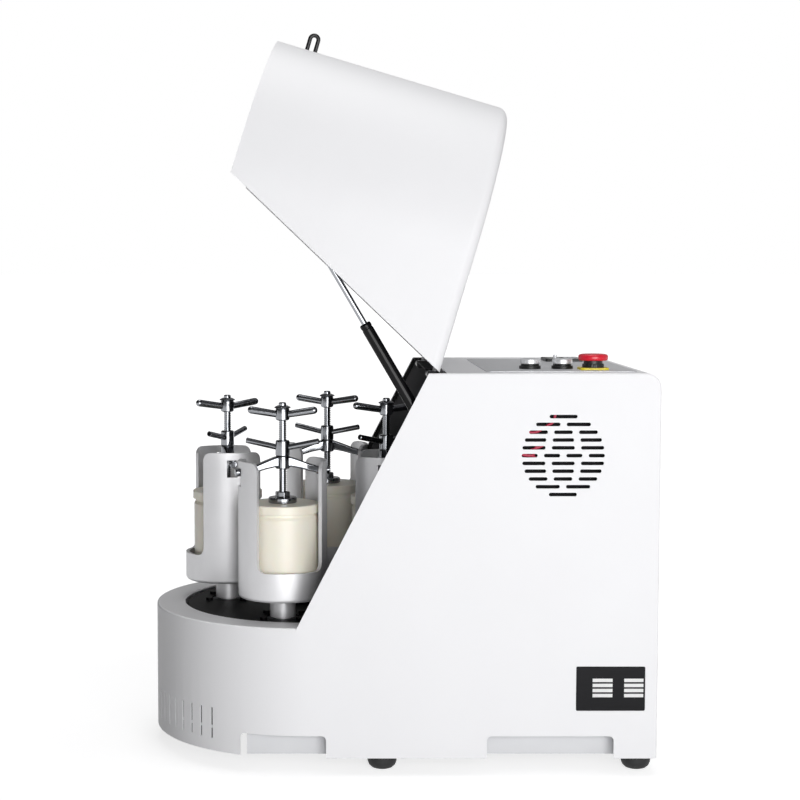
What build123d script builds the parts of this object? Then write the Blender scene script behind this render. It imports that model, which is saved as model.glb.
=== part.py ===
from build123d import *
import os
from math import acos, asin, atan2, cos, degrees, pi, radians, sin, sqrt, tan

# Planetary ball mill, bench size, four one-litre jars under a tilting lid.
# Millimetres. +Z is up, the round nose points to -X, the rear to +X.
# The origin is on the table, in the middle of the footprint.
# The lid is modelled open, as the mill stands while its jars are loaded.

# ---- housing ----
body_length = 750.0
body_width = 470.0
foot_height = 24.0
ring_top = 216.0            # top of the round skirt, where the lid comes down
deck_top = 588.0            # top of the rear box, with the controls on it
sheet = 2.0                 # steel sheet of the housing and of the lid
slant_foot_reach = -11.0    # foot of the slanted side edge, from the disc's axis
slant_top_reach = 180.0     # its upper end at the deck
partition_reach = 206.0     # wall behind the milling chamber
rear_round = 22.0           # bend between deck and rear
edge_round = 2.6            # bend along the other long edges
hole_radius = 191.0         # round hole in the top of the skirt
fit_gap = 0.2               # between sheets that are screwed or welded together
run_gap = 0.05              # radial clearance of a running fit

# ---- hand holds in the bottom edge ----
hand_hold_height = 33.0
hand_hold_corner = 7.0
front_hold_start = 141.0    # from the front end
front_hold_length = 126.0
rear_hold_end = 63.0        # from the rear
rear_hold_length = 185.0

# ---- air openings ----
grille_inset = 141.0        # middle of the grille, from the rear
grille_z = 469.0
grille_radius = 60.0
grille_pitch = 11.3
grille_slot = 5.2
grille_rows = (1, 2, 3, 3, 3, 4, 3, 3, 3, 2, 1)
grille_bridge = 9.0         # metal left between two slots of a row
vent_count = 8              # slots on each side of the nose
vent_first_angle = 17.6
vent_pitch_angle = 5.2
vent_width = 3.6
vent_height = 47.0
vent_bottom = 42.0

# ---- rear cover ----
cover_inset = 20.0          # from the housing's sides
cover_rise = 36.0           # from the housing's lower edge
cover_drop = 12.0           # below the rear bend
cover_lap = 14.0            # how far it lies on the housing's sheet
cover_screw_radius = 3.2
cover_screw_depth = 0.6
louvre_rows = 10
louvre_pitch = 12.0
louvre_columns = (-110.0, 0.0, 110.0)
louvre_length = 80.0
louvre_height = 4.0
inlet_y = -150.0
inlet_z = 110.0
inlet_width = 28.0
inlet_height = 48.0
inlet_depth = 32.0

# ---- nameplate recess ----
plate_inset = 18.0          # from the rear
plate_z = 94.5
plate_length = 101.0
plate_height = 66.0
plate_depth = 0.8

# ---- base ----
base_plate_bottom = 57.0
base_plate = 4.0
rail_width = 28.0
rail_wall = 3.0
rail_inset = 25.0           # the rails stand this far inside the skirt
rail_start = 150.0          # from the front end
foot_radius = 22.0
foot_inset = 24.0
mid_foot_reach = 115.0      # from the disc's axis

# ---- milling chamber ----
liner_sheet = 1.8
liner_setback = 7.5         # liner edge behind the slanted edge
seal_depth = 6.0
seal_back = 7.2
seal_front = 1.0            # both measured back from the slanted edge
seal_lift = 40.0            # lower end of the seal above the skirt

# ---- lid and its hinges ----
hinge_back = 6.5            # hinge line behind the upper end of the slanted edge
hinge_drop = 7.0            # and below the deck
lid_open_angle = 106.5
lid_gap = 3.0
lid_round = 15.0
lid_flange = 12.0
lid_handle_reach = 26.0
lid_handle_wire = 3.2
lid_handle_width = 13.0
lid_handle_rise = 51.0      # from the lid's lower edge up to the handle
hinge_y = 150.0
knuckle_radius = 5.5
hinge_pin_radius = 2.5
knuckle_length = 20.0
knuckle_gap = 0.3
hinge_notch_margin = 2.7    # free length at each end of a hinge
leaf = 3.0
leaf_reach = 66.0

# ---- gas spring, on the near side ----
strut_inset = 20.0          # from the housing's side
strut_foot_back = -18.0     # foot stud, from the hinge line
strut_foot_up = -60.3
strut_head_back = -154.1    # head stud on the closed lid, from the hinge line
strut_head_up = -232.5
strut_tube_radius = 8.6
strut_rod_radius = 4.3
strut_tube_length = 160.0
strut_rod_length = 180.0
strut_tube_start = 12.0
strut_tube_floor = 20.0
strut_eye_radius = 7.0
strut_eye_width = 8.0
strut_pin_radius = 4.0
strut_pad_radius = 10.0
open_pivot_gap = 0.3

# ---- planetary drive ----
gear_module = 5.0
sun_teeth = 26
planet_teeth = 26
pressure_angle = 20.0
tooth_play = 0.3
gear_face = 18.0
gear_bottom = 150.0
station_turn = 15.0         # how far the carrier is turned in the photographed pose
disc_gap = 3.5
disc_top = 212.5
disc_thickness = 12.0
disc_hub_radius = 45.0
disc_cap_radius = 32.0
disc_cap_height = 8.0
main_shaft_radius = 17.5
bearing_ring = 22.0         # radial room for a main bearing
bearing_height = 21.0
bearing_body_radius = 52.0
bearing_flange_radius = 80.0
bearing_flange_height = 12.0
flange_bolt_circle = 66.0
flange_bolt_radius = 7.0
spindle_radius = 12.5
bearing_unit_radius = 31.0
bearing_unit_drop = 28.0
bearing_unit_collar = 26.0  # the collar that passes through the disc
bearing_unit_flange = 46.0
bearing_bolt_circle = 38.0
bolt_head_radius = 5.5
bolt_head_height = 4.0
hub_radius = 19.5
hub_rise = 1.0

# ---- belt drive under the base plate ----
main_pulley_radius = 120.0
motor_pulley_radius = 35.0
motor_reach = 355.0         # motor axis, from the disc's axis
belt_width = 10.0
belt_height = 8.0
belt_gap = 0.3
belt_bottom = 30.0
belt_pitch = 12.5
web_hole_circle = 66.0
web_hole_radius = 22.0
motor_radius = 68.0
motor_height = 225.0
motor_shaft_radius = 12.0
motor_fins = 24
motor_flange_half = 72.0
motor_flange_height = 12.0
terminal_box_length = 70.0
terminal_box_height = 80.0
terminal_box_rise = 80.0

# ---- jar stations ----
holder_bottom = 244.0
holder_radius = 67.0
holder_wall = 5.5
holder_floor = 6.0
holder_top = 451.0
cup_rim = 288.0
cutout_half = 49.4
cutout_corner = 12.0
arm_corner = 13.0
window_width = 20.0
window_height = 27.0
window_drop = 11.0          # window below the end of the arm
jar_radius = 53.5
jar_wall = 7.5
jar_height = 123.0
jar_lid_radius = 55.2
jar_lid_height = 13.5
jar_lid_spigot = 6.0
jar_gap = 0.2
seat_ring_height = 8.0
seat_ring_wall = 3.0
pad_radius = 21.5
pad_height = 8.5
pad_floor = 2.7
pad_nut_radius = 10.5
pad_nut_height = 8.0
screw_radius = 6.0
screw_end = 9.0             # screw above its handle's hub
beam_boss_radius = 11.0
beam_boss_height = 19.5
beam_boss_drop = 2.0        # boss below the window's upper edge
beam_reach = 73.0
beam_end_radius = 6.0
beam_width = 13.0
nut_radius = 10.7
nut_height = 23.0
nut_arm_reach = 58.0
nut_arm_radius = 4.3
nut_arm_rise = 12.0
handle_lift = 30.3          # hub of the handle above the lock nut
handle_height = 18.0
handle_radius = 10.5
handle_reach = 53.0
handle_arm_radius = 5.7
handle_arm_rise = 10.0
washer_radius = 12.5
washer_height = 4.0

# Each station is turned a different way: holder, lock nut and handle, in degrees.
stations = {
    "front": (14.3, -8.0, -4.0),
    "left": (-79.0, 62.0, 24.0),
    "back": (8.0, -20.0, -14.0),
    "right": (-94.0, 40.0, 10.0),
}
station_angles = {"front": 270.0, "left": 180.0, "back": 90.0, "right": 0.0}

# ---- controls on the deck, measured from the rear and from the near side ----
panel_rear_gap = 30.0
panel_near_gap = 27.0
panel_far_y = 150.0
panel_share = 0.45          # panel edge between the partition and the first button
panel_corner = 8.0
panel_thickness = 1.5
button_near_gap = 95.0
start_rear_gap = 179.0
stop_rear_gap = 131.0
bezel_radius = 16.0
bezel_height = 6.0
button_radius = 15.0
button_height = 8.2
button_lift = 0.3
button_stem_radius = 5.0
button_travel = 2.5
body_depth = 34.0           # switch bodies below the deck
body_wall = 3.0             # deck hole smaller than the part on top of it
estop_rear_gap = 88.0
estop_near_gap = 75.0
estop_plate = 43.0
estop_plate_height = 3.0
estop_neck_radius = 16.0
estop_cap_radius = 22.0
estop_cap_lift = 14.8
estop_cap_height = 9.8
estop_travel = 4.0
estop_lift = 0.8
keypad_rear_gap = 100.0
keypad_y = 95.0
keypad_length = 60.0
keypad_width = 70.0
keypad_height = 5.0
knob_rear_gap = 122.0
knob_y = 10.0
knob_radius = 3.0
knob_height = 13.5

# ---- electrics ----
inverter_depth = 140.0
inverter_width = 100.0
inverter_height = 150.0
inverter_y = -130.0
inverter_z = 390.0

# ---- places that follow from the sizes above ----
nose_radius = body_width / 2
front_x = -body_length / 2
rear_x = body_length / 2
disc_x = front_x + nose_radius
slant_foot_x = disc_x + slant_foot_reach
slant_top_x = disc_x + slant_top_reach
partition_x = disc_x + partition_reach
orbit = gear_module * (sun_teeth + planet_teeth) / 2
inner_half = nose_radius - sheet
rear_wall = rear_x - 2 * sheet
base_plate_top = base_plate_bottom + base_plate
slant_angle = degrees(atan2(deck_top - ring_top, slant_top_x - slant_foot_x))
hand_hold_spans = (
    (front_x + front_hold_start, front_x + front_hold_start + front_hold_length),
    (rear_x - rear_hold_end - rear_hold_length, rear_x - rear_hold_end),
)
grille_x = rear_x - grille_inset
plate_x = rear_x - plate_inset - plate_length
cover_half = nose_radius - cover_inset
cover_bottom = foot_height + cover_rise
cover_top = deck_top - rear_round - cover_drop
nose_foot_x = front_x + foot_inset
mid_foot_x = disc_x + mid_foot_reach
rear_foot_x = rear_x - foot_inset
foot_y = nose_radius - rail_inset - rail_width / 2
motor_x = disc_x + motor_reach
disc_bottom = disc_top - disc_thickness
hinge_x = slant_top_x + hinge_back
hinge_z = deck_top - hinge_drop
hinge_half = 1.5 * knuckle_length + knuckle_gap
hinge_line = Axis((hinge_x, 0, hinge_z), (0, 1, 0))
lid_bottom = ring_top + lid_gap
lid_rear_x = slant_top_x - lid_gap / sin(radians(slant_angle))
strut_y = nose_radius - strut_inset
strut_foot = Vector(hinge_x + strut_foot_back, -strut_y, hinge_z + strut_foot_up)
closed_head = Vector(hinge_x + strut_head_back, -strut_y, hinge_z + strut_head_up)
open_head = Vertex(*closed_head).rotate(hinge_line, lid_open_angle).center()
strut_line = (open_head - strut_foot).normalized()
strut_open_length = (open_head - strut_foot).length
jar_top = holder_bottom + holder_floor + jar_height
lid_top = jar_top + jar_lid_height
window_top = holder_top - window_drop
beam_boss_bottom = window_top - beam_boss_drop
beam_boss_top = beam_boss_bottom + beam_boss_height
handle_bottom = beam_boss_top + fit_gap + nut_height + handle_lift
screw_top = handle_bottom + handle_height + screw_end
button_y = -nose_radius + button_near_gap
start_x = rear_x - start_rear_gap
stop_x = rear_x - stop_rear_gap
estop_x = rear_x - estop_rear_gap
estop_y = -nose_radius + estop_near_gap
estop_cap_bottom = deck_top + estop_cap_lift
keypad_x = rear_x - keypad_rear_gap
knob_x = rear_x - knob_rear_gap
panel_x0 = partition_x + panel_share * (start_x - partition_x)
panel_x1 = rear_x - panel_rear_gap
panel_y0 = -nose_radius + panel_near_gap


def block(x0, x1, y0, y1, z0, z1):
    return Pos((x0 + x1) / 2, (y0 + y1) / 2, (z0 + z1) / 2) * Box(x1 - x0, y1 - y0, z1 - z0)


def post(x, y, z0, z1, radius):
    return Pos(x, y, (z0 + z1) / 2) * Cylinder(radius, z1 - z0)


def sleeve(x, y, z0, z1, outer, inner):
    return post(x, y, z0, z1, outer) - post(x, y, z0 - 1, z1 + 1, inner)


def bar(start, end, radius):
    """Round bar from one point to another."""
    path = Edge.make_line(start, end)
    return extrude(Plane(start, z_dir=path.tangent_at(0)) * Circle(radius), amount=path.length)


def crossbar(x, y0, y1, z, radius):
    """Round bar along Y."""
    return bar((x, y0, z), (x, y1, z), radius)


def side_prism(points, y0, y1):
    """A side outline, given as x and z, made as thick as y0 to y1."""
    outline = make_face(Polyline(*[(x, y0, z) for x, z in points], close=True))
    return extrude(outline, amount=y1 - y0, dir=(0, 1, 0))


def nose_prism(inset, x_end, z0, z1):
    """The footprint: a half round nose and straight sides, drawn in by inset."""
    radius = nose_radius - inset
    plan = Pos(disc_x, 0) * Circle(radius)
    plan += Pos((disc_x + x_end) / 2, 0) * Rectangle(x_end - disc_x, 2 * radius)
    return extrude(Pos(0, 0, z0) * plan, amount=z1 - z0)


def slant_x(z, offset=0.0):
    """Where the slanted edge is at height z; offset moves it square to itself."""
    along = (z - ring_top) / (deck_top - ring_top)
    return slant_foot_x + along * (slant_top_x - slant_foot_x) + offset / sin(radians(slant_angle))


def ring_of(count, radius, x, y, first=0.0):
    """Places evenly round a circle."""
    steps = [first + 360.0 * i / count for i in range(count)]
    return [(x + radius * cos(radians(a)), y + radius * sin(radians(a))) for a in steps]


def both_sides(solid):
    return [solid, mirror(solid, about=Plane.XZ)]


def strip_spans(half):
    """Lengths along the deck's front edge that the two hinges leave free."""
    near_hinge = hinge_y - hinge_half - hinge_notch_margin
    past_hinge = hinge_y + hinge_half + hinge_notch_margin
    return [(-half, -past_hinge), (-near_hinge, near_hinge), (past_hinge, half)]


# ---------------------------------------------------------------- housing
def upper_outline():
    """Side outline of the rear box above the skirt."""
    low = ring_top - 2 * edge_round
    return [(slant_x(low), low), (slant_x(deck_top), deck_top), (rear_x, deck_top), (rear_x, low)]


def grille_slots():
    slots = []
    middle = (len(grille_rows) - 1) / 2
    for row, count in enumerate(grille_rows):
        up = (middle - row) * grille_pitch
        half = max(sqrt(max(grille_radius ** 2 - up ** 2, 0)), grille_pitch)
        length = (2 * half - (count - 1) * grille_bridge) / count
        for i in range(count):
            x = grille_x - half + length / 2 + i * (length + grille_bridge)
            slot = SlotOverall(length, grille_slot)
            plane = Plane((x, -nose_radius - 1, grille_z + up), x_dir=(1, 0, 0), z_dir=(0, 1, 0))
            slots.append(extrude(plane * slot, amount=sheet + 2))
    return slots


def nose_vents():
    slots = []
    for side in (-1, 1):
        for i in range(vent_count):
            angle = 180 + side * (vent_first_angle + i * vent_pitch_angle)
            slot = SlotOverall(vent_height, vent_width)
            across = Rot(0, -90, 0) * slot
            cutter = extrude(across, amount=sheet + 4, both=True)
            place = Pos(disc_x, 0, vent_bottom + vent_height / 2) * Rot(0, 0, angle)
            slots.append(place * Pos(nose_radius - sheet / 2, 0, 0) * cutter)
    return slots


def hand_hold(x0, x1):
    """A cut through both side sheets, open at the housing's lower edge."""
    outline = Pos((x0 + x1) / 2, 0) * RectangleRounded(x1 - x0, 2 * hand_hold_height, hand_hold_corner)
    plane = Plane((0, -nose_radius - 1, foot_height), x_dir=(1, 0, 0), z_dir=(0, -1, 0))
    return extrude(plane * outline, amount=-(body_width + 2))


def outer_body():
    """The housing as a full body, with its bends."""
    skirt = nose_prism(0, rear_x, foot_height, ring_top)
    rims = [e for e in skirt.edges() if abs(e.center().Z - ring_top) < 0.01 and e.center().X < rear_x - 1]
    skirt = fillet(rims, edge_round)
    outer = skirt + side_prism(upper_outline(), -nose_radius, nose_radius)
    corner = outer.edges().filter_by(Axis.Y).sort_by(Axis.Z)[-2:].sort_by(Axis.X)[-1]
    outer = fillet(corner, rear_round)
    bends = [e for e in outer.edges() if abs(e.center().Z - deck_top) < 0.01 and e.length > body_width / 2
             and abs(abs(e.center().Y) - nose_radius) < 0.01]
    return fillet(bends, edge_round)


def rear_room():
    """Hollow behind the partition, with the rear bend at its upper end."""
    bend = rear_round - sheet
    low_corner = deck_top - sheet - bend
    room = block(partition_x, rear_wall, -inner_half, inner_half, foot_height - 1, deck_top - sheet)
    corner = block(rear_wall - bend, rear_wall + 1, -inner_half, inner_half, low_corner, deck_top - sheet + 1)
    corner -= crossbar(rear_wall - bend, -nose_radius, nose_radius, low_corner, bend)
    return room - corner


def housing_shell():
    deck_low = deck_top - sheet
    hollow_skirt = nose_prism(sheet, rear_wall, foot_height - 1, ring_top - sheet)
    above = deck_top + rear_round
    chamber = side_prism(
        [(slant_x(ring_top) - 2 * rear_round, ring_top), (slant_x(above, -1), above),
         (partition_x, above), (partition_x, ring_top)],
        -inner_half, inner_half)
    shell = outer_body() - hollow_skirt - chamber - rear_room()
    shell -= post(disc_x, 0, ring_top - sheet - 1, ring_top + 1, hole_radius)
    # The rear sheet is set in, so that its cover lies flush, and it has a service opening.
    shell -= block(rear_x - sheet, rear_x + 1, -cover_half, cover_half, cover_bottom, cover_top)
    shell -= block(rear_wall - 1, rear_x + 1, -cover_half + cover_lap, cover_half - cover_lap,
                   cover_bottom + cover_lap, cover_top - cover_lap)
    for x0, x1 in hand_hold_spans:
        shell -= hand_hold(x0, x1)
    shell -= block(plate_x, plate_x + plate_length, -nose_radius - 1, -nose_radius + plate_depth,
                   plate_z, plate_z + plate_height)
    for slot in grille_slots() + nose_vents():
        shell -= slot
    for x in (start_x, stop_x):
        shell -= post(x, button_y, deck_low - 1, deck_top + 1, bezel_radius - body_wall)
    shell -= post(estop_x, estop_y, deck_low - 1, deck_top + 1, estop_neck_radius - body_wall)
    return shell


def rear_cover():
    gap = fit_gap
    outside = rear_x - sheet
    plate = block(outside, rear_x, -cover_half + gap, cover_half - gap, cover_bottom + gap, cover_top - gap)
    for row in range(louvre_rows):
        z = grille_z + (row - louvre_rows / 2) * louvre_pitch
        for y in louvre_columns:
            plane = Plane((outside - 1, y, z), x_dir=(0, 1, 0), z_dir=(1, 0, 0))
            plate -= extrude(plane * SlotOverall(louvre_length, louvre_height), amount=sheet + 2)
    z0 = inlet_z - inlet_height / 2
    z1 = inlet_z + inlet_height / 2
    y0 = inlet_y - inlet_width / 2
    y1 = inlet_y + inlet_width / 2
    plate -= block(outside - 1, rear_x + 1, y0, y1, z0, z1)
    middle = (cover_bottom + cover_top) / 2
    side = cover_half - cover_lap / 2
    for z in (cover_bottom + cover_lap / 2, middle, cover_top - cover_lap / 2):
        for y in (-side, 0, side):
            if (y, z) != (0, middle):
                plate -= bar((rear_x - cover_screw_depth, y, z), (rear_x + 1, y, z), cover_screw_radius)
    # Mains inlet with three pins, clipped into the cover.
    body = block(rear_x - inlet_depth, rear_x - 2 * gap, y0 + gap, y1 - gap, z0 + gap, z1 - gap)
    body -= block(rear_x - 18, rear_x + 1, y0 + 3, y1 - 3, z0 + 3, z0 + 25)
    for y, z in ((inlet_y - 7, z0 + 11), (inlet_y + 7, z0 + 11), (inlet_y, z0 + 17)):
        body += block(rear_x - 19, rear_x - 4, y - 1, y + 1, z - 2, z + 2)
    return [plate, body]


def chamber_liner():
    """Partition, its flange under the deck's front edge, and the two side walls."""
    half = inner_half - fit_gap
    low = ring_top + fit_gap
    high = deck_top - sheet - fit_gap
    liner = block(partition_x, partition_x + liner_sheet, -half, half, low, high)
    front = [(slant_x(low, liner_setback), low), (slant_x(high, liner_setback), high),
             (partition_x, high), (partition_x, low)]
    for side in both_sides(side_prism(front, half - liner_sheet, half)):
        liner += side
    for y0, y1 in strip_spans(half):
        liner += block(slant_x(high, liner_setback), partition_x + 1, y0, y1, high - liner_sheet, high)
    wall = -half + liner_sheet
    pin_end = -strut_y + strut_eye_width / 2 + 2
    liner += crossbar(strut_foot.X, wall, pin_end, strut_foot.Z, strut_pin_radius)
    liner += crossbar(strut_foot.X, wall, -strut_y - strut_eye_width / 2 - 1, strut_foot.Z, strut_pad_radius)
    return liner


def opening_seal():
    """Seals along the two slanted edges, and the black strips along the deck's front edge."""
    low = ring_top + seal_lift
    high = deck_top - sheet - fit_gap
    half = inner_half - fit_gap
    outline = [(slant_x(low, seal_front), low), (slant_x(high, seal_front), high),
               (slant_x(high, seal_back), high), (slant_x(low, seal_back), low)]
    seals = both_sides(side_prism(outline, half - seal_depth, half))
    strip_x = slant_top_x + seal_front
    for y0, y1 in strip_spans(half):
        seals.append(block(strip_x, partition_x - fit_gap, y0, y1, deck_top - sheet, deck_top))
    return seals


def base_frame():
    frame = nose_prism(sheet + fit_gap, rear_wall - fit_gap, base_plate_bottom, base_plate_top)
    frame -= post(disc_x, 0, base_plate_bottom - 1, base_plate_top + 1, main_shaft_radius + 12)
    frame -= post(motor_x, 0, base_plate_bottom - 1, base_plate_top + 1, motor_shaft_radius + 6)
    outside = nose_radius - rail_inset
    inside = outside - rail_width
    rail = block(front_x + rail_start, rear_wall - fit_gap, inside, outside, foot_height, base_plate_bottom)
    rail -= block(front_x, rear_x, inside + rail_wall, outside - rail_wall,
                  foot_height + rail_wall, base_plate_bottom - rail_wall)
    for item in both_sides(rail):
        frame += item
    frame += post(nose_foot_x, 0, foot_height, base_plate_bottom, foot_radius - 4)
    return frame


def rubber_feet():
    corners = [(x, side * foot_y) for x in (mid_foot_x, rear_foot_x) for side in (-1, 1)]
    feet = []
    for x, y in [(nose_foot_x, 0.0)] + corners:
        foot = post(x, y, 0, foot_height, foot_radius)
        feet.append(fillet(foot.edges().sort_by(Axis.Z)[0], foot_height * 0.45))
    return feet


# ---------------------------------------------------------------- controls
def control_panel():
    """Raised plate, emergency stop guard and neck, keypad and the two button bezels."""
    low = deck_top
    top = low + panel_thickness
    plate = block(panel_x0, panel_x1, panel_y0, panel_far_y, low, top)
    plate = fillet(plate.edges().filter_by(Axis.Z), panel_corner)
    bezels = []
    for x in (start_x, stop_x):
        plate -= post(x, button_y, low - 1, top + 1, bezel_radius - body_wall)
        bezel = post(x, button_y, top, low + bezel_height, bezel_radius)
        bezel += post(x, button_y, low - body_depth, top, bezel_radius - body_wall - fit_gap)
        bezel -= post(x, button_y, low - body_depth / 2, low + bezel_height + 1, button_stem_radius + run_gap)
        bezels.append(bezel)
    plate -= post(estop_x, estop_y, low - 1, top + 1, estop_neck_radius - body_wall)
    half = estop_plate / 2
    guard_top = top + estop_plate_height
    guard = block(estop_x - half, estop_x + half, estop_y - half, estop_y + half, top, guard_top)
    guard = fillet(guard.edges().filter_by(Axis.Z), panel_corner)
    guard -= post(estop_x, estop_y, low - 1, guard_top + 1, estop_neck_radius - body_wall)
    neck_top = estop_cap_bottom - estop_travel - estop_lift
    neck = post(estop_x, estop_y, guard_top, neck_top, estop_neck_radius)
    neck += post(estop_x, estop_y, low - body_depth, guard_top, estop_neck_radius - body_wall - fit_gap)
    neck -= post(estop_x, estop_y, low - body_depth * 0.8, neck_top + 1, button_stem_radius + run_gap)
    half_length = keypad_length / 2
    half_width = keypad_width / 2
    keypad = block(keypad_x - half_length, keypad_x + half_length, keypad_y - half_width,
                   keypad_y + half_width, top, top + keypad_height)
    keypad = fillet(keypad.edges().filter_by(Axis.Z), panel_corner / 2)
    plate -= post(knob_x, knob_y, low - 1, top + 1, knob_radius / 2 + run_gap)
    return [plate, guard, neck, keypad] + bezels


def push_button(x):
    low = deck_top + bezel_height + button_travel + button_lift
    head = post(x, button_y, low, low + button_height, button_radius)
    head = fillet(head.edges().sort_by(Axis.Z)[-1], 2.5)
    return head + post(x, button_y, low - body_depth / 2, low + 1, button_stem_radius)


def emergency_stop():
    cap = post(estop_x, estop_y, estop_cap_bottom, estop_cap_bottom + estop_cap_height, estop_cap_radius)
    cap = fillet(cap.edges().filter_by(GeomType.CIRCLE), estop_cap_height * 0.45)
    stem_bottom = estop_cap_bottom - body_depth * 0.8
    return cap + post(estop_x, estop_y, stem_bottom, estop_cap_bottom + 1, button_stem_radius)


def speed_knob():
    top = deck_top + panel_thickness
    knob = post(knob_x, knob_y, top + button_lift, top + knob_height, knob_radius)
    knob = chamfer(knob.edges().sort_by(Axis.Z)[-1], knob_radius / 4)
    return knob + post(knob_x, knob_y, deck_top + fit_gap, top + 1, knob_radius / 2)


# ---------------------------------------------------------------- drive
def half_tooth_angle(teeth, radius):
    """Half the angle that a tooth takes at a radius, on an involute flank."""
    pitch = gear_module * teeth / 2
    base = pitch * cos(radians(pressure_angle))

    def involute(r):
        turn = acos(min(base / r, 1.0))
        return tan(turn) - turn

    at_pitch = pi / (2 * teeth) - tooth_play / (4 * pitch)
    return at_pitch + involute(pitch) - involute(max(radius, base))


def spur_gear(teeth, bore):
    """Involute spur gear round the origin, with a tooth on +X."""
    pitch = gear_module * teeth / 2
    base = pitch * cos(radians(pressure_angle))
    root = pitch - 1.25 * gear_module
    tip = pitch + gear_module
    middle = (base + tip) / 2

    def at(radius, angle):
        return (radius * cos(angle), radius * sin(angle))

    edges = []
    step = 2 * pi / teeth
    at_root = half_tooth_angle(teeth, base)
    at_middle = half_tooth_angle(teeth, middle)
    at_tip = half_tooth_angle(teeth, tip)
    for i in range(teeth):
        a = i * step
        next_root = a + step - at_root
        edges.append(Line(at(root, a - at_root), at(base, a - at_root)))
        edges.append(ThreePointArc(at(base, a - at_root), at(middle, a - at_middle), at(tip, a - at_tip)))
        edges.append(ThreePointArc(at(tip, a - at_tip), at(tip, a), at(tip, a + at_tip)))
        edges.append(ThreePointArc(at(tip, a + at_tip), at(middle, a + at_middle), at(base, a + at_root)))
        edges.append(Line(at(base, a + at_root), at(root, a + at_root)))
        edges.append(ThreePointArc(at(root, a + at_root), at(root, a + step / 2), at(root, next_root)))
    wheel = extrude(make_face(edges), amount=gear_face)
    return wheel - post(0, 0, -1, gear_face + 1, bore)


def planet_phase(angle):
    """How far a planet gear is turned to mesh with a sun tooth on +X."""
    return angle + 180.0 + angle * sun_teeth / planet_teeth - 180.0 / planet_teeth


def bearing_housing():
    low = base_plate_top
    high = gear_bottom - fit_gap
    seat = main_shaft_radius + bearing_ring
    flange_top = low + bearing_flange_height
    body = post(disc_x, 0, low, flange_top, bearing_flange_radius)
    body += post(disc_x, 0, low, high, bearing_body_radius)
    body -= post(disc_x, 0, low - 1, high + 1, seat)
    body += sleeve(disc_x, 0, low + 34, high - 34, seat + 1, seat - 5)
    for x, y in ring_of(6, flange_bolt_circle, disc_x, 0):
        body += post(x, y, flange_top, flange_top + 6, flange_bolt_radius)
    bearings = [sleeve(disc_x, 0, z, z + bearing_height, seat - fit_gap / 2, main_shaft_radius + run_gap)
                for z in (low + 8, high - 30)]
    return [body] + bearings


def sun_gear():
    return Pos(disc_x, 0, gear_bottom) * spur_gear(sun_teeth, main_shaft_radius + 6)


def carrier_disc():
    disc = post(disc_x, 0, disc_bottom, disc_top, hole_radius - disc_gap)
    disc = chamfer(disc.edges().sort_by(Axis.Z)[-1], 1.5)
    disc += post(disc_x, 0, gear_bottom + gear_face + 4, disc_bottom + 1, disc_hub_radius)
    disc -= post(disc_x, 0, gear_bottom, disc_top + 1, main_shaft_radius + run_gap)
    cap = post(disc_x, 0, disc_top, disc_top + disc_cap_height, disc_cap_radius)
    disc += chamfer(cap.edges().sort_by(Axis.Z)[-1], 2)
    for name in stations:
        x, y = station_place(name)
        disc -= post(x, y, disc_bottom - 1, disc_top + 1, bearing_unit_collar)
        for bx, by in ring_of(4, bearing_bolt_circle, x, y, 42):
            disc += post(bx, by, disc_top, disc_top + bolt_head_height, bolt_head_radius)
    return disc


def planet_bearings():
    units = []
    low = disc_bottom - bearing_unit_drop
    for name in stations:
        x, y = station_place(name)
        unit = post(x, y, low, disc_bottom, bearing_unit_radius)
        unit += post(x, y, disc_bottom - 7, disc_bottom, bearing_unit_flange)
        unit += post(x, y, disc_bottom, disc_top - 2, bearing_unit_collar - fit_gap)
        unit -= post(x, y, low - 1, disc_top + 1, spindle_radius + run_gap)
        units.append(unit)
    return units


def pulley(x, radius, bore):
    low = belt_bottom - 3
    high = belt_bottom + belt_pitch + belt_width + 2.5
    wheel = post(x, 0, low, high, radius)
    for i in range(2):
        z = belt_bottom + i * belt_pitch
        wheel -= sleeve(x, 0, z - belt_gap, z + belt_width + belt_gap, radius + 1, radius - belt_height + 1)
    return wheel - post(x, 0, low - 1, high + 1, bore)


def main_pulley():
    wheel = pulley(disc_x, main_pulley_radius, main_shaft_radius)
    for x, y in ring_of(6, web_hole_circle, disc_x, 0):
        wheel -= post(x, y, belt_bottom - 10, base_plate_bottom, web_hole_radius)
    return wheel


def main_shaft():
    return post(disc_x, 0, belt_bottom - 3, disc_top, main_shaft_radius)


def belt_loop(gap, z):
    """Open loop over both pulleys, offset outward by gap from the groove floors."""
    big = main_pulley_radius - belt_height + 1 + gap
    small = motor_pulley_radius - belt_height + 1 + gap
    span = motor_x - disc_x
    lean = asin((big - small) / span)
    top = [(disc_x + big * sin(lean), big * cos(lean)), (motor_x + small * sin(lean), small * cos(lean))]
    bottom = [(x, -y) for x, y in reversed(top)]
    loop = [Line(top[0], top[1]),
            ThreePointArc(top[1], (motor_x + small, 0), bottom[0]),
            Line(bottom[0], bottom[1]),
            ThreePointArc(bottom[1], (disc_x - big, 0), top[0])]
    return Pos(0, 0, z) * make_face(loop)


def drive_belt():
    belts = []
    for i in range(2):
        z = belt_bottom + i * belt_pitch
        outer = extrude(belt_loop(belt_gap + belt_height, z), amount=belt_width)
        inner = extrude(belt_loop(belt_gap, z - 1), amount=belt_width + 2)
        belts.append(outer - inner)
    return belts


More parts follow.
